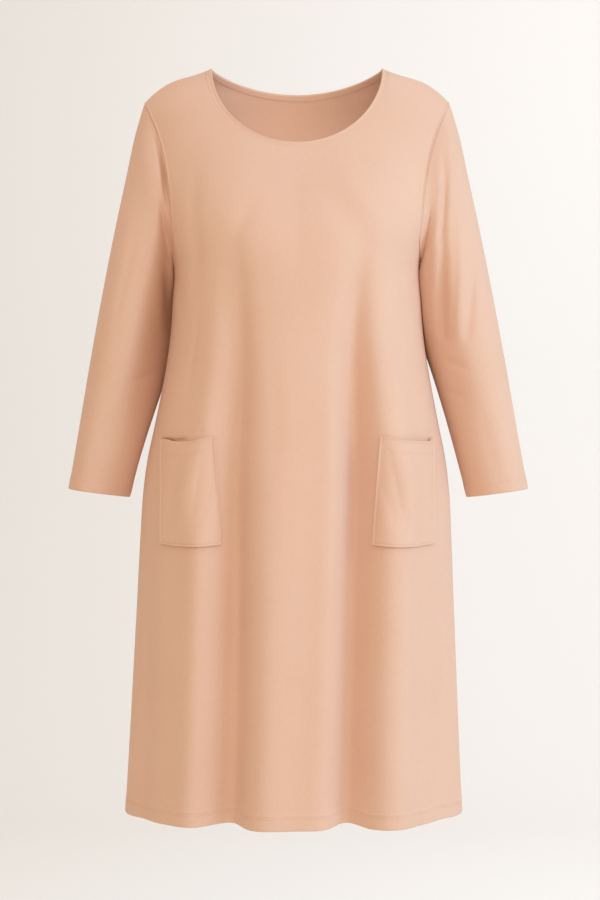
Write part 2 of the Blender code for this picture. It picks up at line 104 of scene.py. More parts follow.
def through(at, knots, values):
    """The smooth curve through a table's points: cubic pieces, each point's slope from its
    neighbours."""
    slopes = np.gradient(values, knots, axis=0)
    at = np.asarray(at, float)
    piece = np.clip(np.searchsorted(knots, at) - 1, 0, len(knots) - 2)
    span = knots[piece + 1] - knots[piece]
    t = (at - knots[piece]) / span
    shape = t.shape + (1,) * (values.ndim - 1)
    t, span = t.reshape(shape), span.reshape(shape)
    leaving, arriving = slopes[piece] * span, slopes[piece + 1] * span
    bend = t * (1 - t) * ((1 - t) * leaving - t * arriving)
    return between(values[piece], values[piece + 1], t * t * (3 - 2 * t)) + bend


print("a bell one spread from its middle:", round(float(bump(1.0, 1.0)), 3))

# %% [markdown]
# ## The form that the cloth takes
# Worn and hanging free, the dress is a stack of rounded rings: wide at the shoulders, in a little
# under the bust, and wider again all the way down to the hem. It could be draped by simulation
# over a figure, but the photo's folds are few, long and already settled, so each ring is given by
# its half width and its reach to the front and back, with smooth curves between the rings. The
# same tables shape the solids, so the shell lies on them but for its creases, a bust and two front
# folds a few millimetres fuller, and the sleeves: the wearer's right one tucks further behind the
# body's side, and the left one lies a little further forward.

# %% Rings of the body, from the hem up to the neck
RINGS = np.array([  # height, half width, reach to the front, reach to the back
    (-1.034, 0.2349, 0.178, 0.166),
    (-0.950, 0.2306, 0.173, 0.161),
    (-0.840, 0.2255, 0.167, 0.154),
    (-0.730, 0.2205, 0.161, 0.148),
    (-0.650, 0.2170, 0.156, 0.142),
    (-0.590, 0.2135, 0.151, 0.136),
    (-0.545, 0.2078, 0.150, 0.131),
    (-0.500, 0.1985, 0.149, 0.126),
    (-0.455, 0.1895, 0.148, 0.121),
    (-0.410, 0.1815, 0.148, 0.118),
    (-0.370, 0.1763, 0.148, 0.116),
    (-0.330, 0.1737, 0.148, 0.116),
    (-0.275, 0.1720, 0.146, 0.118),
    (-0.235, 0.1840, 0.138, 0.120),
    (-0.190, 0.1990, 0.121, 0.119),
    (-0.140, 0.2095, 0.099, 0.113),
    (-0.095, 0.2145, 0.080, 0.102),
    (-0.050, 0.2135, 0.062, 0.084),
    (-0.034, 0.1980, 0.054, 0.073),
    (-0.0175, 0.1700, 0.046, 0.061),
    (-0.009, 0.1415, 0.042, 0.053),
    (0.0, 0.1185, 0.036, 0.042),
])
RING_HEIGHT, RING_HALF_WIDTH, RING_FRONT, RING_BACK = RINGS.T
RING_POWER = 2.2  # 2 is an ellipse, more is squarer
HEM_DRIFT = -0.0045  # the skirt hangs this far off centre at the hem, and not at all above DRIFT_TOP
DRIFT_TOP = -0.45
HEM_HEIGHT = RING_HEIGHT[0]
UNDERARM_HEIGHT = -0.275
SHOULDER_TIP_HEIGHT = -0.050
print("rings:", len(RINGS), "from the hem at", HEM_HEIGHT, "m")

# %% [markdown]
# ## Folds and creases
# A loose knit falls in long soft folds from where it is held, here the bust and the shoulder
# blades. Each fold is one row of a table: where it starts, the angles round the body that it runs
# between, its width and its depth. Creases are the small ones: a short pull under the bust, drags
# towards the armholes, soft dents down the back. They are placed one by one, uneven in length, depth
# and spacing, because a repeating pattern or plain noise never looks like cloth that hangs.

# %% Long folds
# heights where each starts and is full, degrees round the body at its start, middle and hem, its
# spread in degrees at its start and hem, its lean, and how far out it goes in metres
FOLDS = (
    (-0.22, -0.80, -26.8, -21.4, -20.8, 7.4, 8.3, 0.22, -0.032),
    (-0.22, -0.66, 27.8, 21.6, 17.1, 6.5, 6.8, 0.18, -0.036),
    (-0.30, -0.90, -3.0, -5.5, -8.0, 10.0, 7.5, 0.0, 0.010),
    (-0.36, -0.95, 13.0, 11.5, 9.0, 5.5, 6.0, 0.0, 0.010),
    (-0.26, -0.80, -37.0, -33.0, -32.5, 8.5, 8.5, 0.0, 0.011),
    (-0.26, -0.80, 41.0, 35.5, 31.0, 11.0, 10.0, 0.0, 0.021),
    (-0.46, -0.95, -68.0, -65.0, -62.0, 9.0, 9.0, 0.0, -0.006),
    (-0.46, -0.95, 68.0, 64.0, 60.0, 9.0, 9.0, 0.0, -0.006),
    (-0.24, -0.78, 152.0, 155.0, 157.0, 8.5, 9.0, 0.15, -0.024),
    (-0.24, -0.84, 211.0, 207.0, 205.0, 8.5, 9.0, -0.18, -0.026),
    (-0.30, -0.90, 180.0, 181.0, 182.0, 12.0, 11.0, 0.0, 0.010),
    (-0.40, -0.90, 128.0, 129.5, 130.0, 11.0, 12.0, 0.0, 0.010),
    (-0.40, -0.90, 232.0, 231.0, 231.0, 11.0, 12.0, 0.0, 0.010),
    (-0.50, -0.95, 108.0, 109.0, 110.0, 8.0, 8.0, 0.0, -0.006),
    (-0.50, -0.95, 252.0, 251.5, 250.0, 8.0, 8.0, 0.0, -0.006),
)
FOLD_GROWTH = 0.7  # power of the fold's depth along its run, under 1 where it deepens early
HEM_LIFT = 0.14  # of a hollow's depth, by which the hem rises there
HEM_LIFT_TOP = -0.80
BUST_ACROSS = 0.108
BUST_HEIGHT = -0.232
BUST_RADIUS = 0.062
BUST_OUT = 0.0125


def fold_out(angle, height):
    """How far the folds push the cloth out: for each, its depth, grown from its start to its full
    length, times a bell across it round a centre that bends through its middle angle. A fold that
    leans is narrower, so steeper, on its left side and wider on its right one."""
    total = np.zeros(np.broadcast(angle, height).shape)
    for start, full, first, middle, last, width_start, width_hem, lean, out in FOLDS:
        run = np.clip((start - height) / (start - full), 0, 1)
        down = np.clip((start - height) / (start - HEM_HEIGHT), 0, 1)
        bend = 4 * down * (1 - down) * (middle - (first + last) / 2)
        away = turned_from(np.degrees(angle), between(first, last, down) + bend)
        width = between(width_start, width_hem, down) * (1 - lean * np.sign(away))
        total += out * ease(run**FOLD_GROWTH) * bump(away, width)
    return total


def bust_out(across, height, angle):
    """The bust's fullness: on each side of the front, a bell of the distance to its middle."""
    away = np.hypot(np.abs(across) - BUST_ACROSS, height - BUST_HEIGHT)
    swell = BUST_OUT * bump(away, BUST_RADIUS * np.sqrt(2))
    return swell * np.clip(np.cos(angle), 0, 1)


print("folds:", len(FOLDS), " deepest:", max(-row[-1] for row in FOLDS), "m")

# %% Creases, each a soft trough (out below 0) or ridge along a short line
# from degrees round the body and height, to degrees and height, its spread and how far out
BODY_CREASES = (
    (9.0, -0.182, 28.0, -0.256, 0.0220, -0.0042),
    (17.0, -0.176, 34.0, -0.232, 0.0150, 0.0012),
    (51.0, -0.283, 55.0, -0.303, 0.0075, -0.0026),
    (-40.0, -0.165, -50.0, -0.310, 0.0140, -0.0024),
    (-14.0, -0.196, -25.0, -0.252, 0.0120, -0.0018),
    (77.0, -0.262, 58.0, -0.236, 0.0060, -0.0014),
    (-78.0, -0.258, -60.0, -0.226, 0.0070, -0.0013),
    (-72.0, -0.300, -58.0, -0.345, 0.0080, -0.0013),
    (3.0, -0.150, -6.0, -0.215, 0.0150, -0.0010),
    (-8.0, -0.420, -5.0, -0.560, 0.0090, -0.0010),
    (44.0, -0.330, 47.0, -0.470, 0.0100, -0.0013),
    (-47.0, -0.340, -50.0, -0.450, 0.0090, -0.0012),
    (104.0, -0.262, 133.0, -0.205, 0.0080, -0.0022),
    (101.0, -0.282, 124.0, -0.252, 0.0070, -0.0014),
    (256.0, -0.258, 229.0, -0.212, 0.0085, -0.0024),
    (150.0, -0.108, 178.0, -0.128, 0.0120, -0.0016),
    (184.0, -0.130, 212.0, -0.104, 0.0110, -0.0018),
    (166.0, -0.240, 170.0, -0.420, 0.0130, -0.0018),
    (194.0, -0.260, 191.0, -0.380, 0.0110, -0.0015),
    (238.0, -0.330, 243.0, -0.470, 0.0110, -0.0016),
    (118.0, -0.360, 116.0, -0.520, 0.0110, -0.0018),
    (-65.2, -0.5190, -54.0, -0.5225, 0.0030, -0.0044),
    (-54.0, -0.5225, -45.0, -0.5190, 0.0030, -0.0026),
    (-37.2, -0.5060, -37.2, -0.5130, 0.0032, -0.0016),
    (61.0, -0.5200, 67.0, -0.5180, 0.0022, -0.0020),
)
BODY_GIRTH = 0.2  # metres round the body for one radian
CREASE_END = 0.4  # of a crease's depth, left at its two ends


def crease_out(creases, around, along, scale):
    """How far creases push the cloth: each one's depth times a bell of the distance to its line,
    less at the line's two ends. around times scale is in metres."""
    around, along = np.broadcast_arrays(around, along)
    total = np.zeros(around.shape)
    for from_around, from_along, to_around, to_along, width, out in creases:
        run = np.array([(to_around - from_around) * scale, to_along - from_along])
        off = np.stack([turned_from(around, from_around) * scale, along - from_along], -1)
        share = np.clip(off @ run / (run @ run), 0, 1)
        distance = np.linalg.norm(off - share[..., None] * run, axis=-1)
        total += out * bump(distance, width) * between(CREASE_END, 1, np.sin(np.pi * share))
    return total


print("creases on the body:", len(BODY_CREASES))


# %% The body's outer face
def half_width(height):
    """Half the ring's width, read from the table's smooth curve."""
    return through(height, RING_HEIGHT, RING_HALF_WIDTH)


def depth(height, angle):
    """How far the ring reaches to the front or to the back, whichever side the angle is on."""
    front, back = (through(height, RING_HEIGHT, reach) for reach in (RING_FRONT, RING_BACK))
    return np.where(np.cos(angle) > 0, front, back)


def body(angle, height):
    """A point of the dress at this angle round the body and this height: width and depth times
    the sine and cosine to the power 2 / RING_POWER, moved out by folds, bust and creases."""
    angle, height = np.broadcast_arrays(np.asarray(angle, float), np.asarray(height, float))
    wide, deep = half_width(height), depth(height, angle)
    sine, cosine = np.sin(angle), np.cos(angle)
    drift = HEM_DRIFT * np.clip((DRIFT_TOP - height) / (DRIFT_TOP - HEM_HEIGHT), 0, 1)
    across = wide * power(sine, 2 / RING_POWER) + drift
    forward = deep * power(cosine, 2 / RING_POWER)
    lean = 2 - 2 / RING_POWER
    outward = [power(sine, lean) / wide, -power(cosine, lean) / deep, np.zeros_like(sine)]
    folds = fold_out(angle, height)
    hanging = ease((HEM_LIFT_TOP - height) / (HEM_LIFT_TOP - HEM_HEIGHT))
    lifted = height - HEM_LIFT * np.minimum(folds, 0) * hanging
    creases = crease_out(BODY_CREASES, np.degrees(angle), height, np.radians(BODY_GIRTH))
    out = folds + bust_out(across, height, angle) + creases
    return np.stack([across, -forward, lifted], -1) + unit(np.stack(outward, -1)) * out[..., None]


def body_normal(angle, height):
    """Square to the dress's face, from its slopes round the body and up it."""
    around = body(angle + STEP, height) - body(angle - STEP, height)
    up = body(angle, height + STEP) - body(angle, height - STEP)
    return unit(np.cross(around, up))


def angle_at(across, height, side):
    """The angle round the body of a point seen from the front (or back) at this distance across:
    the arc sine of its share of the half width to the power RING_POWER / 2."""
    share = np.clip(np.abs(across) / half_width(height), 0, 1)
    angle = np.sign(across) * np.arcsin(share ** (RING_POWER / 2))
    return angle if side == FRONT else np.pi - angle


print("front's middle at the hem:", body(0.0, HEM_HEIGHT).round(4))

# %% Armholes, neck and shoulder seams
ARMHOLE_HEIGHT, ARMHOLE_ACROSS = np.array([
    (-0.275, 0.1720),
    (-0.262, 0.1680),
    (-0.240, 0.1665),
    (-0.213, 0.1690),
    (-0.186, 0.1720),
    (-0.162, 0.1760),
    (-0.135, 0.1815),
    (-0.111, 0.1880),
    (-0.090, 0.1950),
    (-0.071, 0.2035),
    (-0.050, 0.2135),
]).T
NECK_HALF_WIDTH = 0.1185
NECK_FRONT_DROP = 0.1145
NECK_BACK_DROP = 0.0252
BINDING_WIDTH = 0.008
SEAM_GAP = 0.0003


def shoulder_height(across):
    """The height of the shoulder seam at this distance across: the rings' width, read backwards."""
    heights = np.linspace(0.0, SHOULDER_TIP_HEIGHT, 400)
    return np.interp(across, half_width(heights), heights)


def neck_edge(turn, out, side):
    """The neck opening seen from the front: (across, height) at a turn from -90 to 90 degrees, out
    metres outside the finished edge: half an ellipse in front, a shallow parabola behind."""
    wide = NECK_HALF_WIDTH + out
    top = shoulder_height(wide)
    low = (NECK_FRONT_DROP if side == FRONT else NECK_BACK_DROP) + out
    dip = np.cos(turn) if side == FRONT else np.cos(turn) ** 2
    return wide * np.sin(turn), top - (low + top) * dip


def armhole_across(height):
    """How far out the armhole seam is, seen from the front, from the table's smooth curve."""
    return through(height, ARMHOLE_HEIGHT, ARMHOLE_ACROSS)


def armhole_loop(turn):
    """The armhole seam on the wearer's left, on the body's face: its height goes with the cosine of
    turn, which is 0 at the shoulder, 90 degrees at the front and 180 under the arm."""
    middle = (SHOULDER_TIP_HEIGHT + UNDERARM_HEIGHT) / 2
    half = (SHOULDER_TIP_HEIGHT - UNDERARM_HEIGHT) / 2
    height = middle + half * np.cos(turn)
    front, back = (angle_at(armhole_across(height), height, side) for side in (FRONT, BACK))
    return body(np.where(np.sin(turn) > 0, front, back), height)


def armhole(turn):
    """The armhole seam's points, the way out of its loop at each, square to its slope, and the way
    from body to sleeve."""
    points = armhole_loop(turn)
    tip, pit = armhole_loop(np.array([0.0, np.pi]))
    away = np.cross(np.array([0.0, 1.0, 0.0]), unit(tip - pit))
    around = armhole_loop(turn + STEP) - armhole_loop(turn - STEP)
    outward = unit(np.cross(away, around))
    facing = np.sign(((points - (tip + pit) / 2) * outward).sum(-1, keepdims=True))
    return points, outward * facing, away


print("shoulder tip and underarm:", armhole_loop(np.array([0.0, np.pi])).round(4).tolist())

# %% [markdown]
# ## From a grid of points to a cloth wall
# Real cloth has two faces and a rounded cut edge, and at a hem it is twice as thick. A Solidify
# modifier would give every edge the same hard rim, so the wall is worked out here instead: an
# outer grid, an inner grid, and three rings of points that carry one round to the other at each
# open edge. Each corner also gets a place on the flat cloth in metres (the UV map), which the
# knit pattern follows.


# %% Numbers of a grid, and its faces
def numbered(rows, columns, ring=False, tube=False):
    """Numbers of a grid's corners, and of their places on the flat cloth: row times columns, plus
    column. Where a ring or a tube closes, its first corners come again with places of their own."""
    r, c = np.arange(rows + ring)[:, None], np.arange(columns + tube)
    return (r % rows) * columns + c % columns, r * len(c) + c


def edge_loops(place, closed):
    """The open edges of a grid as runs of places, each in the order that its faces need; the last
    place repeats the first. A closed grid has its first and last rows, any other its rim."""
    if closed:
        return [place[0], place[-1, ::-1]]
    return [np.concatenate([place[0, :-1], place[:-1, -1], place[-1, :0:-1], place[:0:-1, 0], [0]])]


def quads(first, second):
    """Faces between two runs of numbers that lie side by side."""
    corners = [first[..., 1:], first[..., :-1], second[..., :-1], second[..., 1:]]
    return np.stack(corners, -1).reshape(-1, 4)


def lengths(points, axis):
    """How far along its row (or column) each point of a grid is, in metres: the sum of the steps."""
    steps = np.linalg.norm(np.diff(points, axis=axis), axis=-1)
    start = np.zeros_like(np.take(steps, [0], axis=axis))
    return np.concatenate([start, np.cumsum(steps, axis=axis)], axis=axis)


def grid_normals(points, closed=False):
    """Square to a grid's face at each point: the cross product of its slopes along rows and
    columns."""
    up = np.gradient(points, axis=0)
    if closed:
        across = np.roll(points, -1, axis=1) - np.roll(points, 1, axis=1)
    else:
        across = np.gradient(points, axis=1)
    normal = unit(np.cross(across, up))
    outwards = ((points - points.mean(axis=1, keepdims=True)) * normal).sum()
    return normal * np.sign(outwards)


print("corner numbers of 2 rows of 3:", numbered(2, 3)[0].tolist())

# %% Meshes and cloth walls
RIM_RINGS = 3


def placed(name, data):
    """A new object with this data, in the scene."""
    made = bpy.data.objects.new(name, data)
    bpy.context.scene.collection.objects.link(made)
    return made


def surface(name, points, faces, flat, places):
    """A smooth mesh with its UV map in metres, its faces turned to point outwards: six times the
    space that they hold, a sum of triple products, is then above 0."""
    a, b, c, d = (points[faces[:, i]] for i in range(4))
    if ((a * np.cross(b, c)).sum() + (a * np.cross(c, d)).sum()) < 0:
        faces, places = faces[:, ::-1], places[:, ::-1]
    data = bpy.data.meshes.new(name)
    data.from_pydata(points.tolist(), [], faces.tolist())
    on_cloth = flat[places.ravel()].astype(np.float32)
    data.uv_layers.new(name="cloth").data.foreach_set("uv", on_cloth.ravel())
    data.shade_smooth()
    print(f"{name}: {2 * len(faces)} triangles")
    return placed(name, data)


def cloth_wall(name, outer, inner, flat, closed=False):
    """A cloth wall between two grids. The rim is half a circle: the middle of the edge, plus half
    the thickness times the cosine, plus the way out of the cloth times the sine."""
    rows, columns = outer.shape[:2]
    corner, place = numbered(rows, columns, tube=closed)
    count = rows * columns
    faces = [quads(corner[1:], corner[:-1]), quads(corner[:-1] + count, corner[1:] + count)]
    places = [quads(place[1:], place[:-1]), quads(place[:-1], place[1:])]
    away = np.zeros_like(outer)
    away[0] += unit(outer[0] - outer[1])
    away[-1] += unit(outer[-1] - outer[-2])
    if not closed:
        away[:, 0] += unit(outer[:, 0] - outer[:, 1])
        away[:, -1] += unit(outer[:, -1] - outer[:, -2])
    outer, inner, away = (grid.reshape(-1, 3) for grid in (outer, inner, away))
    points = [outer, inner]
    start = 2 * count
    turn = np.pi * np.arange(1, RIM_RINGS + 1)[:, None, None] / (RIM_RINGS + 1)
    for edge in edge_loops(place, closed):
        used = len(edge) - 1
        at = corner.ravel()[edge]
        rim = at[:used]
        middle, half = (outer[rim] + inner[rim]) / 2, (outer[rim] - inner[rim]) / 2
        out = unit(away[rim]) * np.linalg.norm(half, axis=-1, keepdims=True)
        points.append((middle + half * np.cos(turn) + out * np.sin(turn)).reshape(-1, 3))
        ring = start + np.arange(RIM_RINGS)[:, None] * used + np.arange(used + 1) % used
        start += RIM_RINGS * used
        runs = np.concatenate([at[None], ring, at[None] + count])
        spots = np.broadcast_to(edge, runs.shape)
        faces.append(quads(runs[:-1], runs[1:]))
        places.append(quads(spots[:-1], spots[1:]))
    points, faces, places = (np.concatenate(parts) for parts in (points, faces, places))
    return surface(name, points, faces, flat.reshape(-1, 2), places)


# %% [markdown]
# ## Seams and hems
# A seam in fine jersey is a shallow valley: the two edges roll down into it. A hem is the cloth
# turned up and held by a twin needle, which shows outside as two rows of stitches in two faint
# grooves, with the double layer standing slightly proud below them. All of these are a fraction of
# a millimetre, added to the face as bells of the distance to the edge.

# %% Sizes of the sewing
CLOTH = 0.0012
HEM_CLOTH = 0.0022
SKIRT_HEM = 0.020
SLEEVE_HEM = 0.018
TWIN_NEEDLE = (0.0135, 0.0165)  # above the edge, both rows
NEEDLE_GROOVE = 0.00035
NEEDLE_SPREAD = 0.0009
HEM_PROUD = 0.00045
HEM_STEP = 0.002  # over which the double layer's outer face ends
HEM_THINS = 0.0015  # over which its inner one does
PUCKERS = ((0.0021, 0.0), (0.0034, 1.3), (0.0057, 0.4))  # each wave's length over 2 pi, and start
PUCKER_OUT = 0.00009
PUCKER_SPREAD = 0.008
SEAM_ROLL = 0.0006
SEAM_SPREAD = 0.0018
ARMHOLE_LIP = 0.0017  # the panel stands proud of the sleeve along the armhole
ARMHOLE_LIP_PLACE = 0.0018
ARMHOLE_LIP_SPREAD = 0.0014
ARMHOLE_BLEND = 0.008  # beside the armhole, where the cloth turns into the seam's own way out
ARMHOLE_FADE = 0.02  # above the underarm, where the lip starts
SLEEVE_DIP = 0.0008
SLEEVE_DIP_SPREAD = 0.0028
NECK_ROLL = 0.00005
CORNER_FADE = 0.045  # share of a panel's half width, over which the shoulder seam's valley starts
# distances from an edge to the columns or rows along it
EDGE_STEPS = np.array([0.0, 0.5, 1.0, 1.6, 2.3, 3.1, 4.1, 5.4, 7.2]) / 1000
CUFF_REACH = 0.0205  # above a cuff or below a pocket's mouth, where rows are fine


def double_layer(above, top):
    """How much prouder the face is, up to the top of a turned hem."""
    return HEM_PROUD * (1 - ease((above - top) / HEM_STEP + 0.5))


def hem_relief(above, top, around):
    """What a turned hem adds to the face: the double layer, two grooves, and shallow puckers
    between them, which are sines of three unrelated lengths."""
    grooves = sum(NEEDLE_GROOVE * bump(above - row, NEEDLE_SPREAD) for row in TWIN_NEEDLE)
    waves = sum(np.sin(around / length + start) for length, start in PUCKERS)
    puckers = PUCKER_OUT * waves * bump(above - TWIN_NEEDLE[0], PUCKER_SPREAD)
    return double_layer(above, top) - grooves + puckers


def hem_wall(above, top):
    """The wall's thickness, one layer above the hem and two in it."""
    return between(HEM_CLOTH, CLOTH, ease((above - top) / HEM_THINS))


def filled(first, count, last):
    """Places along a length: those at its start, evenly spaced ones, and those at its end."""
    first, last = np.atleast_1d(first), np.atleast_1d(last)
    return np.concatenate([first, np.linspace(first[-1], last[0], count)[1:-1], last])


print(f"cloth {CLOTH * 1000} mm, {HEM_CLOTH * 1000} mm in a hem")

# %% [markdown]
# ## Front and back
# Each is cut in one piece: a wide trapezium with the armholes and the neck taken out of its top.
# Its grid has level rows up to the underarm, and from there rows that turn step by step into the
# line of shoulder seam, neck and shoulder seam. Rows and columns crowd together at the edges,
# where the sewing needs them.

# %% Where a panel's rows and columns are
NECK_SHARE = 22 / 36  # of a panel's columns, those that end at the neck
NECK_COLUMNS = 114  # so many places along half the neck
NECK_EVEN = 0.45  # 1 spaces them evenly, 0 crowds them at the shoulder seams
SHOULDER_COLUMNS = 34
HEM_ROWS, LOW_ROWS, MOUTH_ROWS, HIGH_ROWS, CHEST_ROWS = 26, 68, 22, 34, 66
HEM_REACH = 0.0225  # above the hem, where rows are fine
MOUTH_HEIGHTS = (-0.530, -0.503)  # rows are fine between them too, behind the pockets' mouths
PANEL_HALF = 0.31  # metres from a panel's middle to its side seam
CHEST_RISE = 0.2  # metres from the underarm to its top edge
PULL_START, PULL_RUN = 0.45, 0.35  # of the climb, where the armhole's pull lets go of the neck
PULL_POWER = 1.5  # by which it then grows from the neck's corner to the armhole


def round_neck():
    """Places from -1 to 1 along half the neck, closer together towards the shoulder seams: even
    ones mixed with the sine of theirs."""
    even = np.linspace(-1, 1, NECK_COLUMNS)
    return NECK_EVEN * even + (1 - NECK_EVEN) * np.sin(even * np.pi / 2)


def past_neck(share):
    """0 over the neck, and 1 at the armhole."""
    return np.clip((np.abs(share) - NECK_SHARE) / (1 - NECK_SHARE), 0, 1)


def top_edge(share, side):
    """A panel's top edge seen from the front: shoulder seam, neck, shoulder seam. share runs from
    -1 to 1 across the panel."""
    out = BINDING_WIDTH + SEAM_GAP
    neck_x, neck_z = neck_edge(np.clip(share / NECK_SHARE, -1, 1) * np.pi / 2, out, side)
    seam_x = between(NECK_HALF_WIDTH + out, half_width(SHOULDER_TIP_HEIGHT), past_neck(share))
    on_neck = np.abs(share) < NECK_SHARE
    across = np.where(on_neck, neck_x, np.sign(share) * seam_x)
    return across, np.where(on_neck, neck_z, shoulder_height(seam_x))


def chest_places(share, rise, side):
    """The panel above the arms, (across, height): rows that turn from the level chest line to the
    top edge, pulled in between the two armholes."""
    wide, tip = half_width(UNDERARM_HEIGHT), half_width(SHOULDER_TIP_HEIGHT)
    base_x = wide * power(np.sin(share * np.pi / 2), 2 / RING_POWER)
    top_x, top_z = top_edge(share, side)
    round_rise = (1 - np.cos(rise * np.pi)) / 2
    climb = between(rise, round_rise, ease(np.abs(share) / NECK_SHARE))
    armhole_x = armhole_across(between(UNDERARM_HEIGHT, SHOULDER_TIP_HEIGHT, round_rise))
    pulled_in = armhole_x - between(wide, tip, round_rise)
    letting_go = ease((climb - PULL_START) / PULL_RUN)
    by_arm = between(share**2, past_neck(share) ** PULL_POWER, letting_go)
    across = between(base_x, top_x, climb) + np.sign(share) * by_arm * pulled_in
    return across, between(UNDERARM_HEIGHT, top_z, climb)


def panel_places(side):
    """Angles and heights of a panel's grid, and each column's share of the way across it."""
    half = filled(EDGE_STEPS / PANEL_HALF, SHOULDER_COLUMNS, 1 - NECK_SHARE) - 1
    share = np.concatenate([half, NECK_SHARE * round_neck()[1:-1], -half[::-1]])
    hem = HEM_HEIGHT + np.linspace(0, HEM_REACH, HEM_ROWS)
    low = filled(hem, LOW_ROWS, np.linspace(*MOUTH_HEIGHTS, MOUTH_ROWS))
    skirt = filled(low, HIGH_ROWS, UNDERARM_HEIGHT)
    rise = filled(0, CHEST_ROWS, 1 - EDGE_STEPS[::-1] / CHEST_RISE)[1:]
    across, chest = chest_places(share, rise[:, None], side)
    turned = share * np.pi / 2 if side == FRONT else np.pi - share * np.pi / 2
    angles, heights = np.broadcast_arrays(turned, skirt[:, None])
    angles = np.concatenate([angles, angle_at(across, chest, side)])
    return angles, np.concatenate([heights, chest]), share, rise


print("rows and columns of the front:", panel_places(FRONT)[0].shape)

# %% The two body panels
ARMHOLE_COLUMNS = 14  # so many turn into the armhole seam's own way out


def panel(name, side):
    """A body panel: the body's face plus its relief. Its edges are set back half a seam gap, and
    roll down into the seams."""
    angles, heights, share, rise = panel_places(side)
    underarm = len(heights) - len(rise) - 1
    face, normal = body(angles, heights), body_normal(angles, heights)
    seam = np.zeros(angles.shape, bool)
    seam[: underarm + 1, [0, -1]] = True
    seam[-1, np.abs(share) >= NECK_SHARE - 1e-9] = True
    normal[seam, 1] = 0
    face[seam, 1] = side * SEAM_GAP / 2
    points, out, away = armhole(-side * np.pi * (1 - np.append(0, rise)))
    points = points - away * SEAM_GAP / 2
    points[[0, -1], 1] = side * SEAM_GAP / 2
    above, columns = lengths(face, 0), lengths(face, 1)
    near = np.arange(ARMHOLE_COLUMNS)
    blend = ease(columns[underarm:, near] / ARMHOLE_BLEND)[..., None]
    for edge, beside, hand in ((0, near, RIGHT), (-1, -1 - near, LEFT)):
        face[underarm:, edge] = points * (hand, 1, 1)
        square = (out * (hand, 1, 1))[:, None]
        normal[underarm:, beside] = between(square, normal[underarm:, beside], blend)
    normal = unit(normal)

    aside = np.minimum(columns, columns[:, -1:] - columns)
    from_middle = columns - columns[:, -1:] / 2
    at_arm = ease((heights - UNDERARM_HEIGHT) / ARMHOLE_FADE)
    lip = at_arm * ARMHOLE_LIP * bump(aside - ARMHOLE_LIP_PLACE, ARMHOLE_LIP_SPREAD)
    at_shoulder = ease((np.abs(share) - NECK_SHARE) / CORNER_FADE)
    top_roll = between(NECK_ROLL, SEAM_ROLL, at_shoulder) * bump(above[-1:] - above, SEAM_SPREAD)
    relief = lip - SEAM_ROLL * bump(aside, SEAM_SPREAD) - top_roll
    relief += hem_relief(above, SKIRT_HEM, from_middle)
    outer = face + normal * relief[..., None]
    inner = face - normal * hem_wall(above, SKIRT_HEM)[..., None]
    return cloth_wall(name, outer, inner, np.stack([from_middle, above], -1))


front = panel("front_cloth", FRONT)
back = panel("back_cloth", BACK)

# %% [markdown]
# ## Sleeves
# A long narrow sleeve is a tube that leaves the armhole seam, a leaning loop, and tapers to the
# cuff. It hangs close to the body and is pressed flat where the two meet. The tube is a loft: the
# armhole and nine hoops, joined lengthwise by smooth curves, with its own folds and creases.

# %% Hoops and folds of a sleeve
HOOPS = np.array([  # outer x and z, inner x and z, reach to front and back, bow, how far behind
    (0.2265, -0.093, 0.1700, -0.289, 0.066, 0.070, 0.010, 0.020),
    (0.2400, -0.155, 0.1625, -0.303, 0.068, 0.073, 0.006, 0.040),
    (0.2535, -0.217, 0.1600, -0.321, 0.068, 0.074, 0.003, 0.052),
    (0.2665, -0.281, 0.1615, -0.345, 0.066, 0.073, 0.0, 0.055),
    (0.2790, -0.345, 0.1735, -0.379, 0.062, 0.069, 0.0, 0.048),
    (0.2905, -0.407, 0.1890, -0.425, 0.058, 0.063, 0.0, 0.032),
    (0.3010, -0.466, 0.2052, -0.478, 0.054, 0.057, 0.0, 0.014),
    (0.3115, -0.526, 0.2215, -0.537, 0.050, 0.052, 0.0, 0.0),
    (0.3225, -0.586, 0.2375, -0.598, 0.047, 0.047, 0.0, 0.0),
])
SLEEVE_FOLDS = (  # degrees round it, spread in degrees, middle and reach as shares, how far out
    (62.0, 17.0, 0.45, 0.30, -0.0010),
    (118.0, 16.0, 0.42, 0.26, -0.0010),
    (255.0, 20.0, 0.50, 0.30, -0.0035),
)
SLEEVE_CLEAR = 0.0009  # at least this between a sleeve and the side that it hangs against
SLEEVE_START = 0.1  # of its length, over which a sleeve leaves the armhole seam's own shape
SLEEVE_LENGTH = np.hypot(*(HOOPS[-1, :2] - HOOPS[0, :2]))
SLEEVE_GIRTH = 0.06  # metres round the sleeve for one radian
CREASE_START = 0.006  # metres down the sleeve, over which its creases start
FULL_BELOW = 0.19  # metres below its top, where a sleeve has its full share of outer fullness
FULL_AT_TOP = -0.5  # its share at the top, where the inner half is the fuller one
TUCK_PLACE = 0.64  # of its length, round which a sleeve is tucked in
TUCK_REACH = 0.2
print(f"sleeves {SLEEVE_LENGTH:.3f} m long below the first hoop")

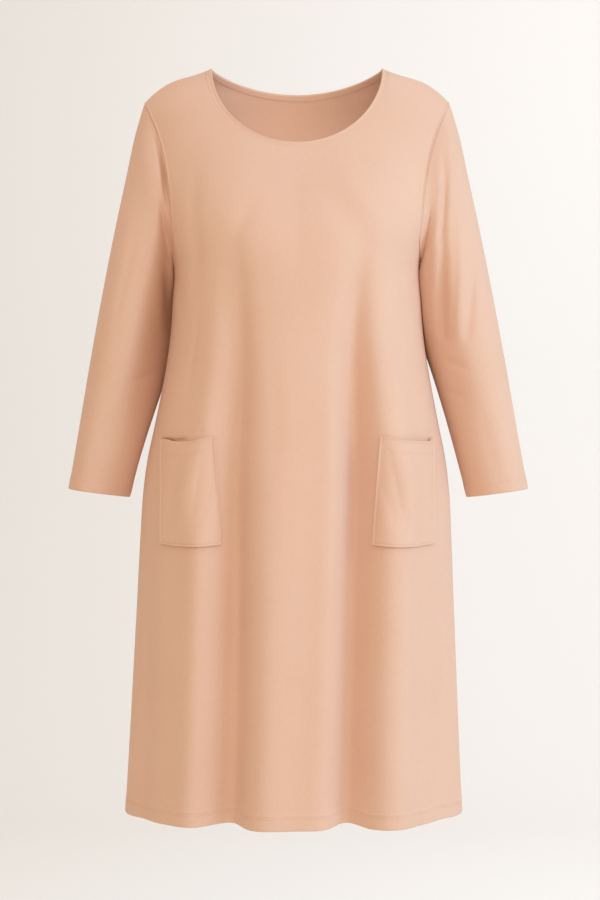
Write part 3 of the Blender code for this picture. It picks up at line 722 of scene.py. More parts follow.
# %% How each sleeve hangs, and its creases
# metres closer at the hem and tucked in half way, how much fuller its outer half is, how square its
# inner corners are pressed, and its share of the way behind the body's side
Hang = namedtuple("Hang", "closer tucked fuller corner behind")
SLEEVE_HANG = {
    LEFT: Hang(0.0, 0.0, 0.10, 0.80, 0.25),
    RIGHT: Hang(0.0035, 0.0040, 0.34, 1.0, 1.0),
}
SLEEVE_CREASES = {  # in degrees round the sleeve (0 outside, 90 front, 180 inside) and metres down it
    LEFT: (
        (60.0, 0.028, 87.5, 0.088, 0.0080, -0.0064),
        (87.5, 0.088, 121.0, 0.242, 0.0085, -0.0074),
        (52.5, 0.162, 86.0, 0.253, 0.0070, -0.0042),
        (62.0, 0.110, 100.0, 0.250, 0.0060, 0.0026),
        (102.0, 0.030, 161.0, 0.077, 0.0040, -0.0030),
        (135.0, 0.275, 96.0, 0.305, 0.0060, -0.0016),
        (150.0, 0.330, 112.0, 0.345, 0.0055, -0.0013),
        (92.0, 0.370, 86.0, 0.500, 0.0120, -0.0010),
        (252.0, 0.110, 262.0, 0.250, 0.0075, -0.0030),
        (226.0, 0.290, 268.0, 0.325, 0.0065, -0.0018),
        (300.0, 0.350, 306.0, 0.490, 0.0065, -0.0014),
    ),
    RIGHT: (
        (55.0, 0.0055, 106.0, 0.0055, 0.0045, -0.0065),
        (72.0, 0.008, 108.0, 0.014, 0.0065, -0.0070),
        (96.0, 0.020, 118.0, 0.080, 0.0120, -0.0070),
        (112.0, 0.085, 141.0, 0.214, 0.0120, -0.0070),
        (66.0, 0.120, 62.0, 0.240, 0.0070, -0.0014),
        (140.0, 0.300, 100.0, 0.322, 0.0060, -0.0016),
        (96.0, 0.350, 90.0, 0.480, 0.0120, -0.0010),
        (248.0, 0.130, 256.0, 0.280, 0.0075, -0.0030),
        (222.0, 0.310, 262.0, 0.335, 0.0065, -0.0017),
        (292.0, 0.330, 300.0, 0.470, 0.0065, -0.0013),
    ),
}
print("creases:", len(SLEEVE_CREASES[LEFT]), "left,", len(SLEEVE_CREASES[RIGHT]), "right")


# %% The loft of a sleeve
def hoop(row, turn, hang):
    """One hoop: an ellipse between its outer and inner points, its sides bowed towards the body,
    its outer half fuller, its inner corners squarer (the sine to a power under 1) and its inner
    part moved backwards, as its hang says."""
    outer_x, outer_z, inner_x, inner_z, front, back, bow, behind = row
    sine, cosine = np.sin(turn), np.cos(turn)
    outer, inner = np.array([outer_x, 0.0, outer_z]), np.array([inner_x, 0.0, inner_z])
    points = (outer + inner) / 2 + cosine[:, None] * (outer - inner) / 2
    lower = ease((HOOPS[0, 1] - outer_z) / FULL_BELOW)
    fuller = 1 + hang.fuller * between(FULL_AT_TOP, 1, lower) * cosine
    forward = power(sine, np.where(cosine < 0, hang.corner, 1.0))
    reach = np.where(sine > 0, front, back) * fuller
    points[:, 1] += hang.behind * behind * ease(-cosine) - reach * forward
    points[:, 0] -= bow * sine**2
    return points


def body_side(forward, height):
    """How far out the body's ring reaches at this distance in front of or behind the side seam."""
    share = np.clip(np.abs(forward) / depth(height, np.where(forward < 0, 0.0, np.pi)), 0, 1)
    return half_width(height) * (1 - share**RING_POWER) ** (1 / RING_POWER)


def soft_larger(a, b, blend):
    """The larger of two values, rounded over where they cross: half of their sum plus the root of
    their squared difference and the blend's square."""
    return (a + b + np.sqrt((a - b) ** 2 + blend**2)) / 2


def sleeve_point(turn, along, hand):
    """The outer face of one hand's sleeve, drawn on the wearer's left: smooth curves through the
    armhole and the hoops, pressed flat at the body's side, plus folds and creases. turn is a row
    of angles round it, along a row of places from 0 (armhole) to 1 (hem)."""
    hang = SLEEVE_HANG[hand]
    seam, _, away = armhole(turn)
    loops = np.stack([seam + away * SEAM_GAP / 2] + [hoop(row, turn, hang) for row in HOOPS])
    steps = np.linalg.norm(np.diff(loops.mean(axis=1), axis=0), axis=1)
    points = through(along, np.append(0, np.cumsum(steps)) / steps.sum(), loops)
    tucked = hang.tucked * bump(along - TUCK_PLACE, TUCK_REACH)
    inside = (1 - np.cos(turn)) / 2
    points[..., 0] -= (hang.closer * along)[:, None] + tucked[:, None] * inside
    side = body_side(points[..., 1], points[..., 2]) + SLEEVE_CLEAR
    pressed = soft_larger(points[..., 0], side, SLEEVE_CLEAR)
    started = ease(along / SLEEVE_START)[:, None]
    points[..., 0] = between(points[..., 0], pressed, started)
    outward = unit(points - points.mean(axis=1, keepdims=True))
    folds = np.zeros(points.shape[:2])
    for angle, width, middle, reach, out in SLEEVE_FOLDS:
        lengthwise = np.exp(-(((along - middle) / reach) ** 4))[:, None]
        folds += out * bump(turned_from(np.degrees(turn), angle), width) * lengthwise
    down = along[:, None] * SLEEVE_LENGTH
    scale = np.radians(SLEEVE_GIRTH)
    small = crease_out(SLEEVE_CREASES[hand], np.degrees(turn)[None], down, scale)
    out = folds * started + small * ease(down / CREASE_START)
    return points + outward * out[..., None]


cuff_ends = sleeve_point(np.array([0.0, np.pi]), np.ones(1), LEFT)[0]
print("left cuff from", cuff_ends[1].round(4), "to", cuff_ends[0].round(4))

# %% The two sleeves
SLEEVE_COLUMNS, SLEEVE_ROWS, CUFF_ROWS = 132, 128, 24


def sleeve(name, hand):
    """A sleeve: the loft, a shallow dip where the panel stands over it, its seam and its cuff. Its
    first column is the underarm seam, so that the knit pattern joins there."""
    turn = np.pi + np.linspace(0, 2 * np.pi, SLEEVE_COLUMNS, endpoint=False)
    cuff = 1 - np.linspace(CUFF_REACH, 0, CUFF_ROWS) / SLEEVE_LENGTH
    face = sleeve_point(turn, filled(EDGE_STEPS / SLEEVE_LENGTH, SLEEVE_ROWS, cuff), hand)
    down = lengths(face, 0)
    blend = ease(down / ARMHOLE_BLEND)[..., None]
    normal = unit(between(armhole(turn)[1], grid_normals(face, closed=True), blend))
    above = down[-1:] - down
    around = lengths(np.concatenate([face, face[:, :1]], axis=1), 1)
    ring = around[:, :-1]
    underarm = np.minimum(ring, around[:, -1:] - ring)
    relief = hem_relief(above, SLEEVE_HEM, ring) - SLEEVE_DIP * bump(down, SLEEVE_DIP_SPREAD)
    relief -= 0.5 * SEAM_ROLL * bump(underarm, SEAM_SPREAD)
    outer = face + normal * relief[..., None]
    inner = face - normal * hem_wall(above, SLEEVE_HEM)[..., None]
    flat = np.stack([around, np.concatenate([above, above[:, :1]], axis=1)], -1)
    return cloth_wall(name, outer * (hand, 1, 1), inner * (hand, 1, 1), flat, closed=True)


sleeve_left = sleeve("sleeve_left_cloth", LEFT)
sleeve_right = sleeve("sleeve_right_cloth", RIGHT)

# %% [markdown]
# ## Neck binding
# A narrow strip of the same jersey is folded over the neck's raw edge and stitched. Pulled
# slightly tight, it rolls into a thin lip at the finished edge. Its section is a flat ring, fatter
# at the lip, with a shallow groove where the needle ran, carried round the neck's curve.

# %% The binding
BINDING_UNDER = 0.0028  # its inner face below the cloth's outer one
BINDING_PROUD = 0.0001
BINDING_LIP = 0.0010  # the rolled edge above the rest
BINDING_LIP_PLACE, BINDING_LIP_SPREAD = 0.10, 0.15  # as shares of its width
BINDING_STITCH = 0.62  # of its width, from the finished edge to the needle's groove
BINDING_REACH = BINDING_WIDTH + 0.8 * SEAM_GAP  # its outer edge all but touches the panels
BINDING_SIDES = 40
# powers of the section's cosine, and of its sine at the rolled edge and at the panel: less is squarer
BINDING_FLAT, BINDING_ROUND, BINDING_SQUARE = 0.55, 0.7, 0.25


def binding_face(turn, share, sunk, side):
    """A point of the binding: on the body's face at this share of the width outside the finished
    edge, sunk this far below it."""
    across, height = neck_edge(turn, share * BINDING_REACH, side)
    angles = angle_at(across, height, side)
    return body(angles, height) - body_normal(angles, height) * np.asarray(sunk)[..., None]


def binding(name):
    """Section: a flat ring from the cosine and the sine, round at the rolled edge and square where
    it meets the panel; its upper face has the lip and, further out, the needle's groove."""
    turn = np.linspace(0, 2 * np.pi, BINDING_SIDES, endpoint=False)
    share = 0.5 + 0.5 * power(np.cos(turn), BINDING_FLAT)
    thick = power(np.sin(turn), np.where(np.cos(turn) < 0, BINDING_ROUND, BINDING_SQUARE))
    groove = NEEDLE_GROOVE * bump((share - BINDING_STITCH) * BINDING_WIDTH, NEEDLE_SPREAD)
    lip = BINDING_LIP * bump(share - BINDING_LIP_PLACE, BINDING_LIP_SPREAD)
    top = BINDING_PROUD + lip - groove * (thick > 0)
    sunk = (BINDING_UNDER - top) / 2 - thick * (BINDING_UNDER + top) / 2
    half = np.pi / 2 * round_neck()[:-1, None]
    strips = [binding_face(half, share, sunk, FRONT), binding_face(-half, share, sunk, BACK)]
    hoops = np.concatenate(strips)
    corner, place = numbered(*hoops.shape[:2], ring=True, tube=True)
    points = hoops.reshape(-1, 3)
    flat = np.stack([lengths(points[corner], axis) for axis in (0, 1)], -1).reshape(-1, 2)
    faces, places = (quads(numbers[1:], numbers[:-1]) for numbers in (corner, place))
    return surface(name, points, faces, flat, places)


neck = binding("neck_binding_cloth")

# %% [markdown]
# ## Patch pockets
# A patch pocket is a flat piece with a turned hem at its mouth, sewn on by its sides and bottom.
# Empty and soft, its mouth sags and gapes a little, and the cloth drags from its inner corner. Each
# pocket is worked out on the front's own face: a point across and a point up give a place on the
# panel, and the pocket lies that much outside it.

# %% Sizes and drags of the pockets
Pocket = namedtuple("Pocket", "hand inner_top inner_bottom outer_top outer_bottom sag")
POCKETS = {
    LEFT: Pocket(LEFT, 0.1125, 0.1020, 0.1860, 0.1862, 0.80),
    RIGHT: Pocket(RIGHT, 0.1115, 0.1028, 0.1850, 0.1842, 1.00),
}
POCKET_TOP = -0.5165
POCKET_BOTTOM = -0.6600
POCKET_BOW = 0.0030
POCKET_WIDTH, POCKET_HEIGHT = 0.078, 0.144
# how far the mouth sags below its inner corner, from the inner side to the outer one
MOUTH_SHARE = np.array([0.0, 0.12, 0.32, 0.55, 0.80, 1.0])
MOUTH_DROP = np.array([0.0, 0.0002, 0.0046, 0.0080, 0.0086, 0.0050])
POCKET_HEM = 0.018
POCKET_NEEDLE = 0.0160
POCKET_SEWN = 0.0026  # its sewing inside its edge
POCKET_SEWN_GROOVE = 1.4 * NEEDLE_GROOVE
POCKET_PROUD = 0.0024  # its face above the panel's
POCKET_ROLL = 0.0010  # its turned edge above that
POCKET_ROLL_PLACE, POCKET_ROLL_SPREAD = 0.0004, 0.0011
MOUTH_ROLL_PLACE, MOUTH_ROLL_SPREAD = 0.0006, 0.0012
POCKET_FULL = 0.0026  # and its middle, where the empty pocket stands off a little
POCKET_CLEAR = 0.0006  # its back above the panel's face
POCKET_LEAST = 2.5 * POCKET_CLEAR  # its face above the panel's, where a drag is deepest
POCKET_GAPE = 0.0050
HEM_FADE, DRAG_FADE = 0.004, 0.006  # inside its edge, where its hem's layer and its drags start
POCKET_CREASES = {  # shares of its width from the inner side, metres up from its bottom
    LEFT: (
        (0.05, 0.128, 0.46, 0.020, 0.0115, -0.0050),
        (0.36, 0.120, 0.70, 0.030, 0.0110, 0.0022),
        (0.75, 0.100, 0.80, 0.015, 0.0080, -0.0009),
    ),
    RIGHT: (
        (0.10, 0.128, 0.40, 0.030, 0.0115, -0.0050),
        (0.44, 0.125, 0.64, 0.040, 0.0110, 0.0022),
        (0.70, 0.090, 0.82, 0.020, 0.0080, -0.0010),
    ),
}
print(f"pockets {POCKET_WIDTH} x {POCKET_HEIGHT} m")


# %% The two pockets
def angle_seen(across, height):
    """The angle round the body at which the finished face is seen this far across, from a first
    guess on the plain ring and four corrections by the face's own slope."""
    angle = angle_at(across, height, FRONT)
    for _ in range(4):
        here = body(angle, height)[..., 0]
        slope = (body(angle + STEP, height)[..., 0] - here) / STEP
        angle = angle + (across - here) / slope
    return angle


def pocket_out(pocket, share, up):
    """How far the pocket's face is above the panel's: proud all over, with a rolled edge and mouth
    and a full middle, less the needle's grooves, plus the hem's layer, the gape and the drags."""
    edge = np.minimum(np.minimum(share, 1 - share) * POCKET_WIDTH, up * POCKET_HEIGHT)
    below_mouth = (1 - up) * POCKET_HEIGHT
    out = POCKET_PROUD + POCKET_ROLL * bump(edge - POCKET_ROLL_PLACE, POCKET_ROLL_SPREAD)
    out = out + POCKET_FULL * np.sin(np.pi * share) * np.sin(np.pi * up)
    out = out - POCKET_SEWN_GROOVE * bump(edge - POCKET_SEWN, NEEDLE_SPREAD)
    out = out - NEEDLE_GROOVE * bump(below_mouth - POCKET_NEEDLE, NEEDLE_SPREAD)
    out = out + double_layer(below_mouth, POCKET_HEM) * ease(edge / HEM_FADE)
    out = out + POCKET_ROLL * bump(below_mouth - MOUTH_ROLL_PLACE, MOUTH_ROLL_SPREAD)
    out = out + POCKET_GAPE * np.sin(np.pi * share**2.4) ** 1.5 * up**6
    drags = crease_out(POCKET_CREASES[pocket.hand], share, up * POCKET_HEIGHT, POCKET_WIDTH)
    return soft_larger(out + drags * ease(edge / DRAG_FADE), POCKET_LEAST, POCKET_CLEAR)


def pocket_face(pocket, share, up):
    """The pocket's outer face: the front's face, plus its way out times how far the pocket is above
    it. share goes from the inner to the outer edge, up from the bottom to the mouth."""
    share, up = np.broadcast_arrays(np.asarray(share, float), np.asarray(up, float))
    inner = between(pocket.inner_bottom, pocket.inner_top, up)
    outer = between(pocket.outer_bottom, pocket.outer_top, up)
    mouth = POCKET_TOP - pocket.sag * through(share, MOUTH_SHARE, MOUTH_DROP)
    bottom = POCKET_BOTTOM - POCKET_BOW * 4 * share * (1 - share)
    height = between(bottom, mouth, up)
    angle = angle_seen(pocket.hand * between(inner, outer, share), height)
    out = pocket_out(pocket, share, up)
    return body(angle, height) + body_normal(angle, height) * out[..., None]


def pocket_piece(name, pocket):
    """A pocket: its face, and an inner face that stays just clear of the panel."""
    side, low = EDGE_STEPS / POCKET_WIDTH, EDGE_STEPS / POCKET_HEIGHT
    share = filled(side, 52, 1 - side[::-1])
    up = filled(low, 64, 1 - np.linspace(CUFF_REACH, 0, 22) / POCKET_HEIGHT)[:, None]
    outer, out = pocket_face(pocket, share, up), pocket_out(pocket, share, up)
    normal = grid_normals(outer)
    facing = np.sign(-normal[..., 1].mean())
    layers = hem_wall((1 - up) * POCKET_HEIGHT, POCKET_HEM)
    inner = outer - facing * normal * np.minimum(layers, out - POCKET_CLEAR)[..., None]
    return cloth_wall(name, outer, inner, np.stack([lengths(outer, 1), lengths(outer, 0)], -1))


pocket_left = pocket_piece("pocket_left_cloth", POCKETS[LEFT])
pocket_right = pocket_piece("pocket_right_cloth", POCKETS[RIGHT])

# %% [markdown]
# ## Stitches
# Thread is what tells the eye that cloth was sewn. Each stitch is a short round bead of thread,
# 2.4 mm long, whose ends dip into the cloth. A bump map could paint them, but real beads catch the
# light from every side. One small bead is worked out once and repeated along each seam's path by
# arrays, and all the beads of a seam are one mesh.

# %% Beads of thread along a path
STITCH = 0.0024
STITCH_GAP = 0.0008
THREAD = 0.00022  # radius
BEAD_SIDES = 6
BEAD_ALONG = np.array([-0.5, -0.36, 0.36, 0.5])
BEAD_ROUND = np.array([0.45, 1.0, 1.0, 0.45])
BEAD_DIP = np.array([1.0, 0.0, 0.0, 1.0]) * THREAD
BEAD_CAP = np.array([[1, 0, 5, 4], [2, 1, 4, 3]])  # two faces close a ring of six


def beads(path, normal):
    """Stitches along a path of points: a bead's rings are its middle, plus steps along the path,
    plus its radius times the cosine sideways and the sine upwards."""
    gone = lengths(path, 0)
    count = int(gone[-1] // (STITCH + STITCH_GAP))
    start = (np.arange(count) + 0.5) * (gone[-1] / count) - STITCH / 2

    def at(values, place):
        """The path's values read at these distances along it."""
        return np.stack([np.interp(place, gone, values[:, i]) for i in range(3)], -1)

    first, last = at(path, start), at(path, start + STITCH)
    along, up = unit(last - first), unit(at(normal, start + STITCH / 2))
    beside = unit(np.cross(along, up))[:, None, None]
    turn = np.linspace(0, 2 * np.pi, BEAD_SIDES, endpoint=False)[:, None]
    centre = ((first + last) / 2)[:, None] + BEAD_ALONG[:, None] * (last - first)[:, None]
    centre = centre - BEAD_DIP[:, None] * up[:, None]
    ring = np.cos(turn) * beside + np.sin(turn) * up[:, None, None]
    return centre[:, :, None] + ring * (BEAD_ROUND * THREAD)[:, None, None]


def stitching(name, runs):
    """One mesh of all the beads on these paths: tubes of six sides, closed at both ends."""
    rings = np.concatenate([beads(path, normal) for path, normal in runs])
    count, along, sides = rings.shape[:3]
    first = np.arange(count)[:, None, None] * along * sides
    ring = np.arange(along)[:, None] * sides + np.arange(sides + 1) % sides
    tube = quads((first + ring)[:, 1:], (first + ring)[:, :-1])
    cap = (first + BEAD_CAP).reshape(-1, 4)
    faces = np.concatenate([tube, cap, cap[:, ::-1] + (along - 1) * sides])
    turned, gone = np.arange(sides) / sides, np.arange(along)[:, None] / along
    flat = np.stack(np.broadcast_arrays(turned, gone), -1).reshape(-1, 2)
    return surface(name, rings.reshape(-1, 3), faces, np.tile(flat, (count, 1)), faces)


print(f"one stitch every {(STITCH + STITCH_GAP) * 1000:.1f} mm")

# %% [markdown]
# The paths of the stitches come from the same functions as the cloth: a row at a fixed height
# above the hem or cuff, a line a little inside a pocket's edge, a ring round the neck.

# %% Where the needle ran
HEM_THREAD = HEM_PROUD - NEEDLE_GROOVE + THREAD / 2  # above the plain face, in a hem's groove
MOUTH_SET = 0.002  # below a pocket's mouth, where the sewing down its sides starts


def hem_run(side, above):
    """A row above the skirt's hem, from side seam to side seam."""
    angle = np.linspace(-np.pi / 2, np.pi / 2, 900)[4:-4] + (0 if side == FRONT else np.pi)
    normal = body_normal(angle, HEM_HEIGHT + above)
    return body(angle, HEM_HEIGHT + above) + normal * HEM_THREAD, normal


def cuff_run(hand, above):
    """A row above a sleeve's edge, all the way round. Its way out is read from three rows."""
    turn = np.linspace(0, 2 * np.pi, 241) + np.pi
    along = 1 - (above + np.array([0.0005, 0.0, -0.0005])) / SLEEVE_LENGTH
    face = sleeve_point(turn, along, hand)
    normal = grid_normals(face[:, :-1], closed=True)[1]
    normal = np.concatenate([normal, normal[:1]])
    return (face[1] + normal * HEM_THREAD) * (hand, 1, 1), normal * (hand, 1, 1)


def pocket_run(pocket, share, up):
    """A line on a pocket's face, and its way out from the face's slopes."""
    path = pocket_face(pocket, share, up)
    beside = pocket_face(pocket, share + STEP, up) - pocket_face(pocket, share - STEP, up)
    above = pocket_face(pocket, share, up + STEP) - pocket_face(pocket, share, up - STEP)
    normal = unit(np.cross(beside, above)) * pocket.hand
    return path + normal * THREAD / 2, normal


def pocket_runs(pocket):
    """Down its two sides, along the bottom, and the row below the mouth."""
    aside, up = POCKET_SEWN / POCKET_WIDTH, POCKET_SEWN / POCKET_HEIGHT
    t = np.linspace(0, 1, 80)
    down = between(1 - MOUTH_SET / POCKET_HEIGHT, up, t)
    return [
        pocket_run(pocket, aside, down),
        pocket_run(pocket, 1 - aside, down),
        pocket_run(pocket, between(aside, 1 - aside, t), up),
        pocket_run(pocket, between(2 * aside, 1 - 2 * aside, t), 1 - POCKET_NEEDLE / POCKET_HEIGHT),
    ]


def neck_run(side):
    """Round the neck on one panel's side, in the binding's groove."""
    turn = np.linspace(-np.pi / 2, np.pi / 2, 500)
    raised = BINDING_PROUD - NEEDLE_GROOVE + THREAD / 2
    across, height = neck_edge(turn, BINDING_STITCH * BINDING_WIDTH, side)
    normal = body_normal(angle_at(across, height, side), height)
    return binding_face(turn, BINDING_STITCH, -raised, side), normal


threads = {
    "hem_stitching_front": [hem_run(FRONT, row) for row in TWIN_NEEDLE],
    "hem_stitching_back": [hem_run(BACK, row) for row in TWIN_NEEDLE],
    "cuff_stitching_left": [cuff_run(LEFT, row) for row in TWIN_NEEDLE],
    "cuff_stitching_right": [cuff_run(RIGHT, row) for row in TWIN_NEEDLE],
    "pocket_stitching_left": pocket_runs(POCKETS[LEFT]),
    "pocket_stitching_right": pocket_runs(POCKETS[RIGHT]),
    "neck_stitching": [neck_run(FRONT), neck_run(BACK)],
}
threads = {name: stitching(name, runs) for name, runs in threads.items()}

# %% [markdown]
# ## The finish of the jersey
# Fine jersey is columns of tiny V-shaped loops, under a millimetre apart. Modelled, they would be
# millions of faces, so they are a bump that follows the cloth's UV map. From a step away the eye
# sees only a soft matt grain, a little unevenness in the dye and a faint haze of loose fibres,
# which is the sheen. The knit is a node group, because the binding uses it too, at its own gauge.


# %% Helpers that add nodes
def feed(tree, node, values):
    """Gives a node's inputs, by number or name, a value or another node's socket."""
    for key, value in values.items():
        if isinstance(value, bpy.types.NodeSocket):
            tree.links.new(value, node.inputs[key])
        else:
            node.inputs[key].default_value = value


def add(tree, kind, values, **settings):
    """The outputs of a new node with these inputs and settings."""
    node = tree.nodes.new("ShaderNode" + kind)
    for key, value in settings.items():
        setattr(node, key, value)
    feed(tree, node, values)
    return node.outputs


def math(tree, operation, *values):
    """The result of one calculation on up to three values or sockets."""
    return add(tree, "Math", dict(enumerate(values)), operation=operation)[0]


def new_material(name, values):
    """A material, its node tree and its shader, with these values on the shader."""
    made = bpy.data.materials.new(name)
    made.use_nodes = True
    shader = made.node_tree.nodes["Principled BSDF"]
    feed(made.node_tree, shader, values)
    return made, made.node_tree, shader


# %% The knit group
LOOP_DEPTH = 0.22  # of a wale's height, how much its loops rise and fall
HEATHER_LONG = 2.5  # the dye's patches are this much longer than wide


def knit_group():
    """Height of the loops: a ridge for each wale, the sine of how near its middle is, with a wave
    down it that slants towards the ridge, which draws the V. Heather is uneven dye in the yarn."""
    tree = bpy.data.node_groups.new("knit", "ShaderNodeTree")
    face = tree.interface
    face.new_socket("Cloth", in_out="INPUT", socket_type="NodeSocketVector")
    for name, size in (("Wale", 0.0009), ("Course", 0.0007), ("Heather Size", 0.0035)):
        face.new_socket(name, in_out="INPUT", socket_type="NodeSocketFloat").default_value = size
    for name in ("Height", "Heather", "Cloud"):
        face.new_socket(name, in_out="OUTPUT", socket_type="NodeSocketFloat")
    given = tree.nodes.new("NodeGroupInput").outputs
    place = add(tree, "SeparateXYZ", {0: given["Cloth"]})
    wale = math(tree, "DIVIDE", place["X"], given["Wale"])
    near = math(tree, "MULTIPLY", math(tree, "PINGPONG", wale, 0.5), 2.0)
    ridge = math(tree, "SINE", math(tree, "MULTIPLY", near, np.pi / 2))
    down = math(tree, "DIVIDE", place["Y"], given["Course"])
    course = math(tree, "ADD", down, math(tree, "MULTIPLY", near, 0.5))
    loop = math(tree, "SINE", math(tree, "MULTIPLY", course, 2 * np.pi))
    height = math(tree, "MULTIPLY_ADD", loop, LOOP_DEPTH, 1 - LOOP_DEPTH)
    long = math(tree, "MULTIPLY", given["Heather Size"], HEATHER_LONG)
    stretched = add(tree, "CombineXYZ", {
        0: math(tree, "DIVIDE", place["X"], given["Heather Size"]),
        1: math(tree, "DIVIDE", place["Y"], long),
    })[0]
    heather = {"Vector": stretched, "Scale": 1.0, "Detail": 4.0, "Roughness": 0.7}
    cloud = {"Vector": given["Cloth"], "Scale": 9.0, "Detail": 2.0}
    feed(tree, tree.nodes.new("NodeGroupOutput"), {
        "Height": math(tree, "MULTIPLY", ridge, height),
        "Heather": add(tree, "TexNoise", heather)[0],
        "Cloud": add(tree, "TexNoise", cloud)[0],
    })
    return tree


KNIT = knit_group()
outputs = [item.name for item in KNIT.interface.items_tree if item.in_out == "OUTPUT"]
print("knit group outputs:", outputs)

# %% Jersey, binding and thread
JERSEY_COLOUR, JERSEY_SHADE = (0.785, 0.520, 0.400, 1.0), (0.740, 0.470, 0.350, 1.0)
THREAD_COLOUR, THREAD_SHADE = (0.80, 0.53, 0.40, 1.0), (0.70, 0.42, 0.29, 1.0)
# the first two shares are uneven dye; the last is painted shade in the gaps between the loops
HEATHER_SHARE, CLOUD_SHARE, PAINTED_GAP_SHADE = 0.55, 0.45, 0.16  # of the way from colour to shade


def cloth_material(name, wale, course, bump_size, sheen):
    """A matt knit: colour and shade mixed by the heather, with painted shade darkening the gaps
    between the loops.
    """
    made, tree, shader = new_material(name, {
        "Sheen Weight": sheen,
        "Sheen Roughness": 0.45,
        "Sheen Tint": (1.0, 0.90, 0.82, 1.0),
        "Specular IOR Level": 0.25,
    })
    cloth = add(tree, "UVMap", {}, uv_map="cloth")[0]
    knit = add(tree, "Group", {}, node_tree=KNIT)
    feed(tree, tree.nodes[-1], {"Cloth": cloth, "Wale": wale, "Course": course})
    cloud = math(tree, "MULTIPLY", knit["Cloud"], CLOUD_SHARE)
    uneven = math(tree, "MULTIPLY_ADD", knit["Heather"], HEATHER_SHARE, cloud)
    # painted shade: the colour is darker in the gaps between the loops, where the knit's bump is low
    painted_gap_shade = math(tree, "MULTIPLY", math(tree, "SUBTRACT", 1.0, knit["Height"]), PAINTED_GAP_SHADE)
    dye_and_gap_shade = math(tree, "ADD", uneven, painted_gap_shade)
    dye_and_shade_share = add(tree, "MapRange", {0: dye_and_gap_shade, 1: 0.30, 2: 0.80, 3: 0.0, 4: 1.0})[0]
    mixed = add(tree, "Mix", {0: dye_and_shade_share, 6: JERSEY_COLOUR, 7: JERSEY_SHADE}, data_type="RGBA")
    relief = {"Strength": 0.35, "Distance": bump_size, "Height": knit["Height"]}
    feed(tree, shader, {
        "Base Color": mixed[2],
        "Roughness": add(tree, "MapRange", {0: knit["Heather"], 1: 0.3, 2: 0.7, 3: 0.82, 4: 0.94})[0],
        "Normal": add(tree, "Bump", relief)[0],
    })
    return made


def thread_material():
    """Spun thread, a tone lighter than the cloth, with its twist as a fine slanting bump: the sine
    of the place round it plus four times the place along it."""
    made, tree, shader = new_material("thread", {"Roughness": 0.6, "Sheen Weight": 0.2})
    place = add(tree, "TexCoord", {})["Object"]
    fibre = add(tree, "TexNoise", {"Vector": place, "Scale": 2600.0, "Detail": 2.0})[0]
    mixed = add(tree, "Mix", {0: fibre, 6: THREAD_COLOUR, 7: THREAD_SHADE}, data_type="RGBA")
    spot = add(tree, "SeparateXYZ", {0: add(tree, "UVMap", {}, uv_map="cloth")[0]})
    slanting = math(tree, "ADD", spot["X"], math(tree, "MULTIPLY", spot["Y"], 4.0))
    twist = math(tree, "SINE", math(tree, "MULTIPLY", slanting, 2 * np.pi))
    relief = add(tree, "Bump", {"Strength": 0.3, "Distance": 0.0001, "Height": twist})[0]
    feed(tree, shader, {"Base Color": mixed[2], "Normal": relief})
    return made


jersey = cloth_material("jersey", 0.0009, 0.0007, 0.00022, 0.10)
trim = cloth_material("binding_jersey", 0.0007, 0.0008, 0.00018, 0.12)
thread = thread_material()
for piece in (front, back, sleeve_left, sleeve_right, pocket_left, pocket_right):
    piece.data.materials.append(jersey)
neck.data.materials.append(trim)
for piece in threads.values():
    piece.data.materials.append(thread)
print("materials:", ", ".join(m.name for m in (jersey, trim, thread)))

# %% [markdown]
# ## What each piece stands for
# Every shell replaces the solid of the same name and rides on the one body.
# The flat size is the rectangle that the piece is cut out of, and the area is its own share of it.

# %% The cut of each piece, its stitches and its place in the frame
Cut = namedtuple("Cut", "piece node slot flat area held rests_on stitches")
BODY = ["front", "back"]
CUTS = (
    Cut(front, "front", "jersey", (0.66, 1.02), 0.565, "hung", ["back"], "hem_stitching_front"),
    Cut(back, "back", "jersey", (0.64, 1.03), 0.550, "hung", ["front"], "hem_stitching_back"),
    Cut(sleeve_left, "sleeve_left", "jersey", (0.46, 0.56), 0.153, "hung", BODY,
        "cuff_stitching_left"),
    Cut(sleeve_right, "sleeve_right", "jersey", (0.46, 0.56), 0.152, "hung", BODY,
        "cuff_stitching_right"),
    Cut(neck, "neck_binding", "binding", (0.70, 0.016), None, "stretched", BODY, "neck_stitching"),
    Cut(pocket_left, "pocket_left", "jersey", (0.092, 0.170), 0.0150, "hung", ["front"],
        "pocket_stitching_left"),
    Cut(pocket_right, "pocket_right", "jersey", (0.092, 0.170), 0.0150, "hung", ["front"],
        "pocket_stitching_right"),
)
for cut in CUTS:
    sewn = threads[cut.stitches]
    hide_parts(cut.node)
    for piece in (cut.piece, sewn):
        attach(piece, "root")
    print(f"{cut.piece.name} stands for {cut.node}, cut from {cut.flat[0]} x {cut.flat[1]} m")

# %% [markdown]
# ## Studio
# The photo is plain product light: a large cool soft source from the right, warm light from all
# round that fills its shadows, and a pale seamless backdrop, brighter on the right. The backdrop is
# one sheet, floor, curve and wall, far enough away that the dress throws no shadow on it, with a
# light of its own. A small soft light inside the dress, below the front's neck edge, does what a
# reflector card would do there: it keeps the inside of the back from falling dark.

# %% Backdrop
FLOOR_HEIGHT = -1.62
WALL_PLACE = 4.6
WALL_TOP = 6.0
COVE = 1.4
BACKDROP_HALF = 7.0  # to each side, and towards the camera


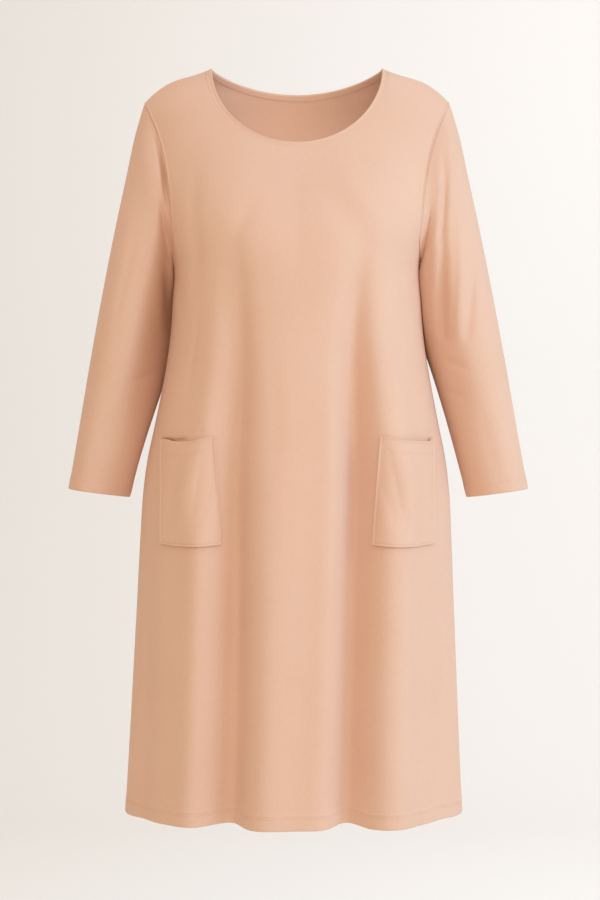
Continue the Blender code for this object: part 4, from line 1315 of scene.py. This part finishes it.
def backdrop():
    """A profile carried sideways: the floor, a quarter circle and the wall."""
    turn = np.linspace(-np.pi / 2, 0, 24)
    middle = np.array([WALL_PLACE - COVE, FLOOR_HEIGHT + COVE])
    curve = middle + COVE * np.stack([np.cos(turn), np.sin(turn)], -1)
    front_end, top_end = [[-BACKDROP_HALF, FLOOR_HEIGHT]], [[WALL_PLACE, WALL_TOP]]
    profile = np.concatenate([front_end, curve, top_end])
    across = np.linspace(-BACKDROP_HALF, BACKDROP_HALF, 15)
    points = np.stack(np.broadcast_arrays(across, profile[:, :1], profile[:, 1:]), -1)
    corner = numbered(*points.shape[:2])[0]
    data = bpy.data.meshes.new("backdrop")
    data.from_pydata(points.reshape(-1, 3).tolist(), [], quads(corner[:-1], corner[1:]).tolist())
    data.shade_smooth()
    paper = {"Base Color": (0.84, 0.84, 0.84, 1.0), "Roughness": 0.95, "Specular IOR Level": 0.1}
    data.materials.append(new_material("backdrop_paper", paper)[0])
    print("backdrop:", len(data.polygons), "faces")
    return placed("backdrop", data)


backdrop()


# %% Lights
def soft_light(name, place, aim, size, watts, colour):
    """A square soft box at a place, turned towards a point: tilted by the arc tangent of how far up
    over how far along, and turned by that of how far across over how far back."""
    data = bpy.data.lights.new(name, "AREA")
    data.shape, data.size, data.energy, data.color = "SQUARE", size, watts, colour
    light = placed(name, data)
    light.location = place
    x, y, z = np.array(aim) - np.array(place)
    tilt = np.pi / 2 + np.arctan2(z, np.hypot(x, y))
    light.rotation_euler = (tilt, 0, np.arctan2(-x, y))


soft_light("key", (2.8, -1.6, 0.4), (0.0, 0.0, -0.5), 1.6, 60, (0.46, 0.74, 1.0))
soft_light("front", (0.0, -3.4, 0.3), (0.0, 0.0, -0.5), 1.8, 21, (1.0, 0.80, 0.50))
soft_light("top", (0.2, -1.2, 2.2), (0.0, 0.0, -0.3), 1.4, 19, (0.34, 0.65, 1.0))
soft_light("wall", (1.8, 1.2, 1.6), (1.8, 4.6, -0.6), 2.6, 66, (0.81, 0.88, 1.0))
soft_light("behind", (-1.4, 2.2, 1.6), (0.0, 0.0, -0.4), 1.6, 10, (0.80, 0.90, 1.0))
soft_light("inside", (0.0, -0.045, -0.145), (-0.055, 0.09, -0.065), 0.05, 0.10, (1.0, 0.97, 0.95))
world = bpy.data.worlds.new("studio")
world.use_nodes = True
glow = {"Color": (1.0, 0.825, 0.63, 1.0), "Strength": 0.735}
feed(world.node_tree, world.node_tree.nodes["Background"], glow)
bpy.context.scene.world = world
bpy.context.scene.view_settings.view_transform = "Standard"
print("lights:", len(bpy.data.lights))

# %% Camera, straight on at the height of the dress's middle
SENSOR = 36.0
DISTANCE = 3.0
FRAME_HEIGHT = 900 * 0.0014  # metres that the picture's height covers at the side seams
camera_data = bpy.data.cameras.new("camera")
camera_data.sensor_fit = "VERTICAL"
camera_data.sensor_height = SENSOR
camera_data.lens = SENSOR * DISTANCE / FRAME_HEIGHT
camera = placed("camera", camera_data)
camera.location = (0.0042, -DISTANCE, -0.5334)
camera.rotation_euler = (np.pi / 2, 0, 0)
bpy.context.scene.camera = camera
print(f"lens {camera_data.lens:.1f} mm at {DISTANCE} m")
